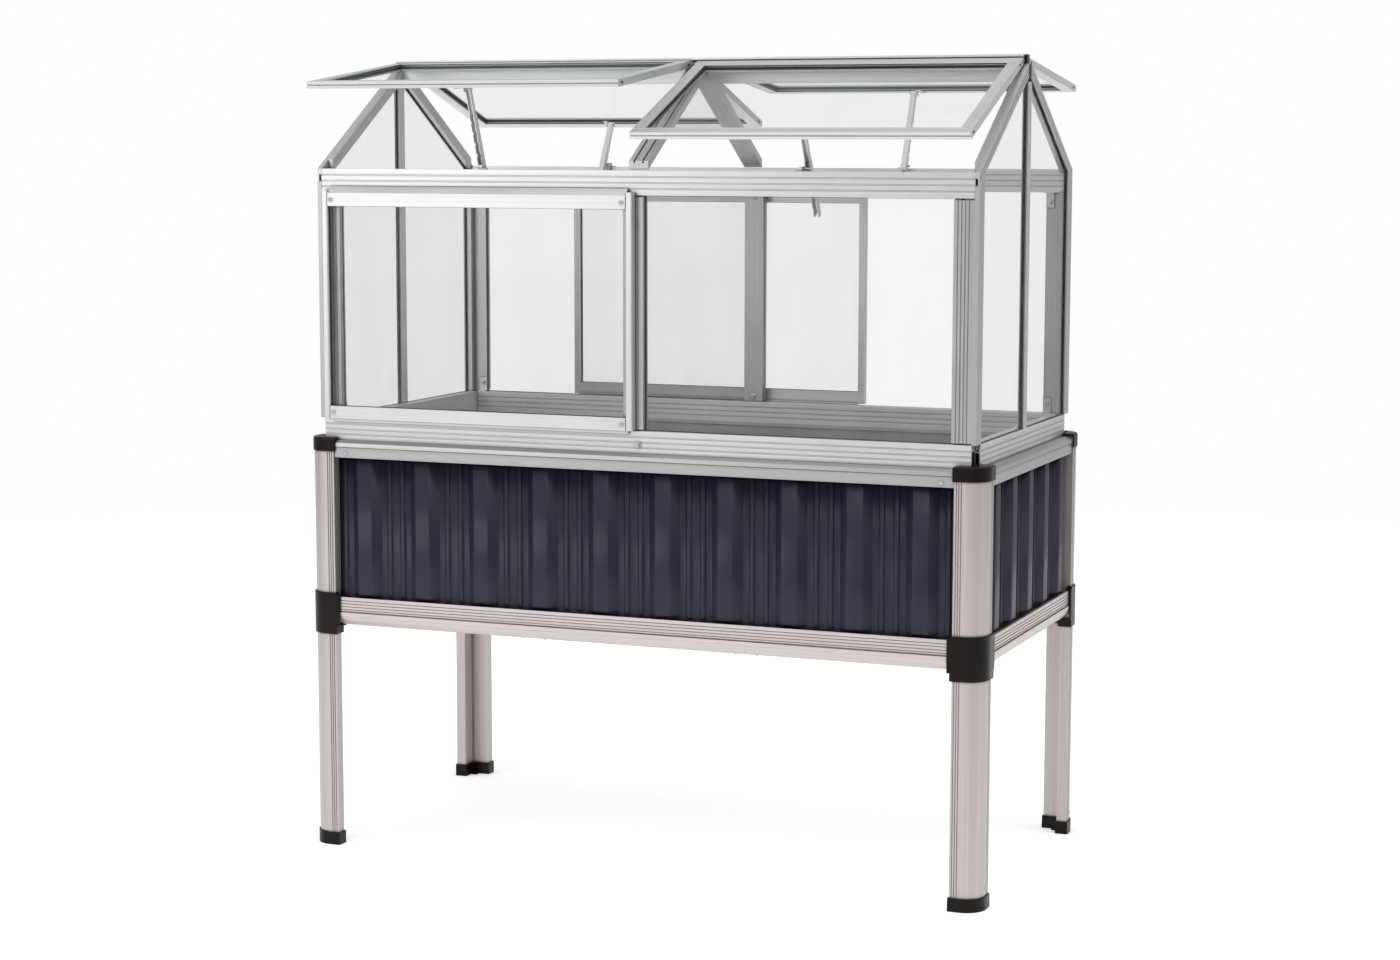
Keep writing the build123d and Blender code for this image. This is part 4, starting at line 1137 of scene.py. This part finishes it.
    def door_places(self, door, facing):
        """Screws at the ends of a door's rails."""
        from_end = 14 * MM
        past_glass = 3 * MM
        low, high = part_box(door + "_pane")
        outer_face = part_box(door + "_frame")[0 if facing < 0 else 1].y
        places = []
        for x in (low.x + from_end, high.x - from_end):
            for z in (low.z - past_glass, high.z + past_glass):
                places.append((Vector((x, outer_face, z)), Vector((0, facing, 0))))
        return places

    def execute(self, context):
        steel = plated_steel("plated steel", self.colours().screws)
        tree = fastener_tree()
        screw = self.screw()
        nut = self.nut()
        house_half_depth = -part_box("base_beam_front")[0].y

        def inside_house(centre):
            return abs(centre.y) < house_half_depth

        def never(centre):
            return False

        jobs = [
            ("planter_screw_heads", "root", screw, self.cad_places("planter_screws", never),
             ["planter_screws"]),
            ("house_nuts", "root", nut, self.cad_places("frame_bolts", inside_house), ["frame_bolts"]),
            ("front_door_screws", "front_door", screw, self.door_places("front_door", -1.0), []),
            ("back_door_screws", "back_door", screw, self.door_places("back_door", 1.0), []),
        ]
        for name, body, fastener, places, replaced in jobs:
            carrier = scratch_object("fastener carrier", self.point_mesh(places))
            mesh = tree.run(carrier, Fastener=fastener, Material=steel)
            drop(carrier)
            new_piece(name, mesh, body, replaced)
        drop(screw, nut)
        return {"FINISHED"}


# ---- stage ----

class MakeStage(ColdFrameOperator, bpy.types.Operator):
    """Pale floor, soft surroundings, lights and the camera"""
    bl_idname = "cold_frame.make_stage"
    bl_label = "Stage"
    floor_glow = 0.34
    lamp_target = (0.0, 0.0, 0.75)
    lamps = {
        "overhead": {"place": (0.4, -0.6, 4.2), "size": (3.4, 2.6), "power": 52.0},
        "right fill": {"place": (4.6, 0.2, 2.2), "size": (2.6, 2.6), "power": 20.0},
        "left fill": {"place": (-2.9, -4.4, 2.0), "size": (2.8, 2.6), "power": 62.0},
        "front fill": {"place": (1.2, -4.8, 2.0), "size": (3.0, 1.6), "power": 18.0},
    }

    def floor(self, stage):
        mesh = bmesh.new()
        bmesh.ops.create_circle(mesh, cap_ends=True, radius=stage.floor_radius, segments=96)
        made = bpy.data.meshes.new("floor")
        mesh.to_mesh(made)
        mesh.free()
        white = rgba((1.0, 1.0, 1.0))
        finish = Finish("pale floor", Emission_Color=white, Emission_Strength=self.floor_glow)
        clouds = finish.noise(finish.place(), scale=1.5, detail=4.0, roughness=0.6)
        finish.set(
            Base_Color=finish.mixed(rgba((0.90, 0.90, 0.90)), rgba((0.93, 0.93, 0.93)), clouds),
            Roughness=0.62 + 0.1 * clouds,
        )
        made.materials.append(finish.material)
        scratch_object("floor", made)

    def surroundings(self, stage):
        """White to look at; to light and mirror, greys that brighten overhead and one grey behind."""
        by_height = [(0.0, 0.50), (0.28, 0.34), (0.50, 0.42), (0.75, 0.75), (1.0, 1.1)]
        grey_behind = rgba((0.58, 0.58, 0.58))
        white = rgba((1.0, 1.0, 1.0))
        world = bpy.data.worlds.new("studio")
        world.use_nodes = True
        bpy.context.scene.world = world
        graph = Graph(world.node_tree)
        way = graph.node("ShaderNodeTexCoord", None, None, "Generated")
        up = graph.node("ShaderNodeSeparateXYZ", None, {"Vector": way}, "Z")
        depth = graph.node("ShaderNodeSeparateXYZ", None, {"Vector": way}, "Y")
        height = graph.limited(up * 0.9 + 0.25)
        tone = graph.node("ShaderNodeValToRGB", {"stops": by_height}, {"Fac": height})
        behind = graph.limited(depth * 1.4 + 0.3)
        lit = graph.mixed(tone, grey_behind, behind)
        seen = graph.node("ShaderNodeLightPath", None, None, "Is Camera Ray")
        colour = graph.mixed(lit, white, seen)
        background = world.node_tree.nodes["Background"]
        graph.feed(background.inputs["Color"], colour)
        background.inputs["Strength"].default_value = stage.light

    def area_light(self, name, place, size, power):
        light = bpy.data.lights.new(name, "AREA")
        light.shape = "RECTANGLE"
        light.size, light.size_y = size
        light.energy = power
        made = scratch_object(name, light)
        made.location = place
        made.rotation_mode = "QUATERNION"
        made.rotation_quaternion = (Vector(self.lamp_target) - Vector(place)).to_track_quat("-Z", "Y")

    def camera(self, stage):
        camera = bpy.data.cameras.new("camera")
        camera.lens = stage.lens
        camera.sensor_width = 36.0
        camera.clip_end = 200.0
        made = scratch_object("camera", camera)
        turn, pitch = stage.camera_turn, stage.camera_pitch
        level = math.cos(pitch)
        back = Vector((math.sin(turn) * level, -math.cos(turn) * level, math.sin(pitch)))
        aim = Vector((stage.aim_aside, 0.0, stage.aim_height))
        made.location = aim + back * stage.camera_distance
        look = (-back).to_track_quat("-Z", "Y")
        made.rotation_mode = "QUATERNION"
        made.rotation_quaternion = look @ Matrix.Rotation(stage.camera_roll, 3, "Z").to_quaternion()
        bpy.context.scene.camera = made

    def execute(self, context):
        stage = bpy.context.scene.cold_frame_stage
        self.floor(stage)
        self.surroundings(stage)
        for name, lamp in self.lamps.items():
            self.area_light(name, **lamp)
        self.camera(stage)
        view = bpy.context.scene.view_settings
        view.view_transform = "Standard"
        view.look = "None"
        return {"FINISHED"}


class ColdFramePanel(bpy.types.Panel):
    """Lists the cold frame's operators and settings"""
    bl_idname = "VIEW3D_PT_cold_frame"
    bl_label = "Cold frame"
    bl_space_type = "VIEW_3D"
    bl_region_type = "UI"
    bl_category = "Cold frame"

    def draw(self, context):
        for operator in OPERATORS:
            self.layout.operator(operator.bl_idname)
        scene = context.scene
        for group in (scene.cold_frame_colours, scene.cold_frame_sizes, scene.cold_frame_stage):
            box = self.layout.box()
            for name in group.bl_rna.properties.keys():
                if name not in ("rna_type", "name"):
                    box.prop(group, name)


SETTINGS = {"cold_frame_colours": FinishColours, "cold_frame_sizes": FittingSizes,
            "cold_frame_stage": StageSettings}
OPERATORS = (FinishPlanter, MakeRibbedSheets, FinishHouse, FinishMovingFrames, FinishGlass, MakeSeals,
             MakeFasteners, MakeStage)


def register():
    for name, group in SETTINGS.items():
        bpy.utils.register_class(group)
        setattr(bpy.types.Scene, name, PointerProperty(type=group))
    for operator in OPERATORS:
        bpy.utils.register_class(operator)
    bpy.utils.register_class(ColdFramePanel)


def unregister():
    bpy.utils.unregister_class(ColdFramePanel)
    for operator in reversed(OPERATORS):
        bpy.utils.unregister_class(operator)
    for name, group in SETTINGS.items():
        delattr(bpy.types.Scene, name)
        bpy.utils.unregister_class(group)


def main():
    register()
    for operator in OPERATORS:
        group, name = operator.bl_idname.split(".")
        getattr(getattr(bpy.ops, group), name)()


if __name__ == "__main__":
    main()
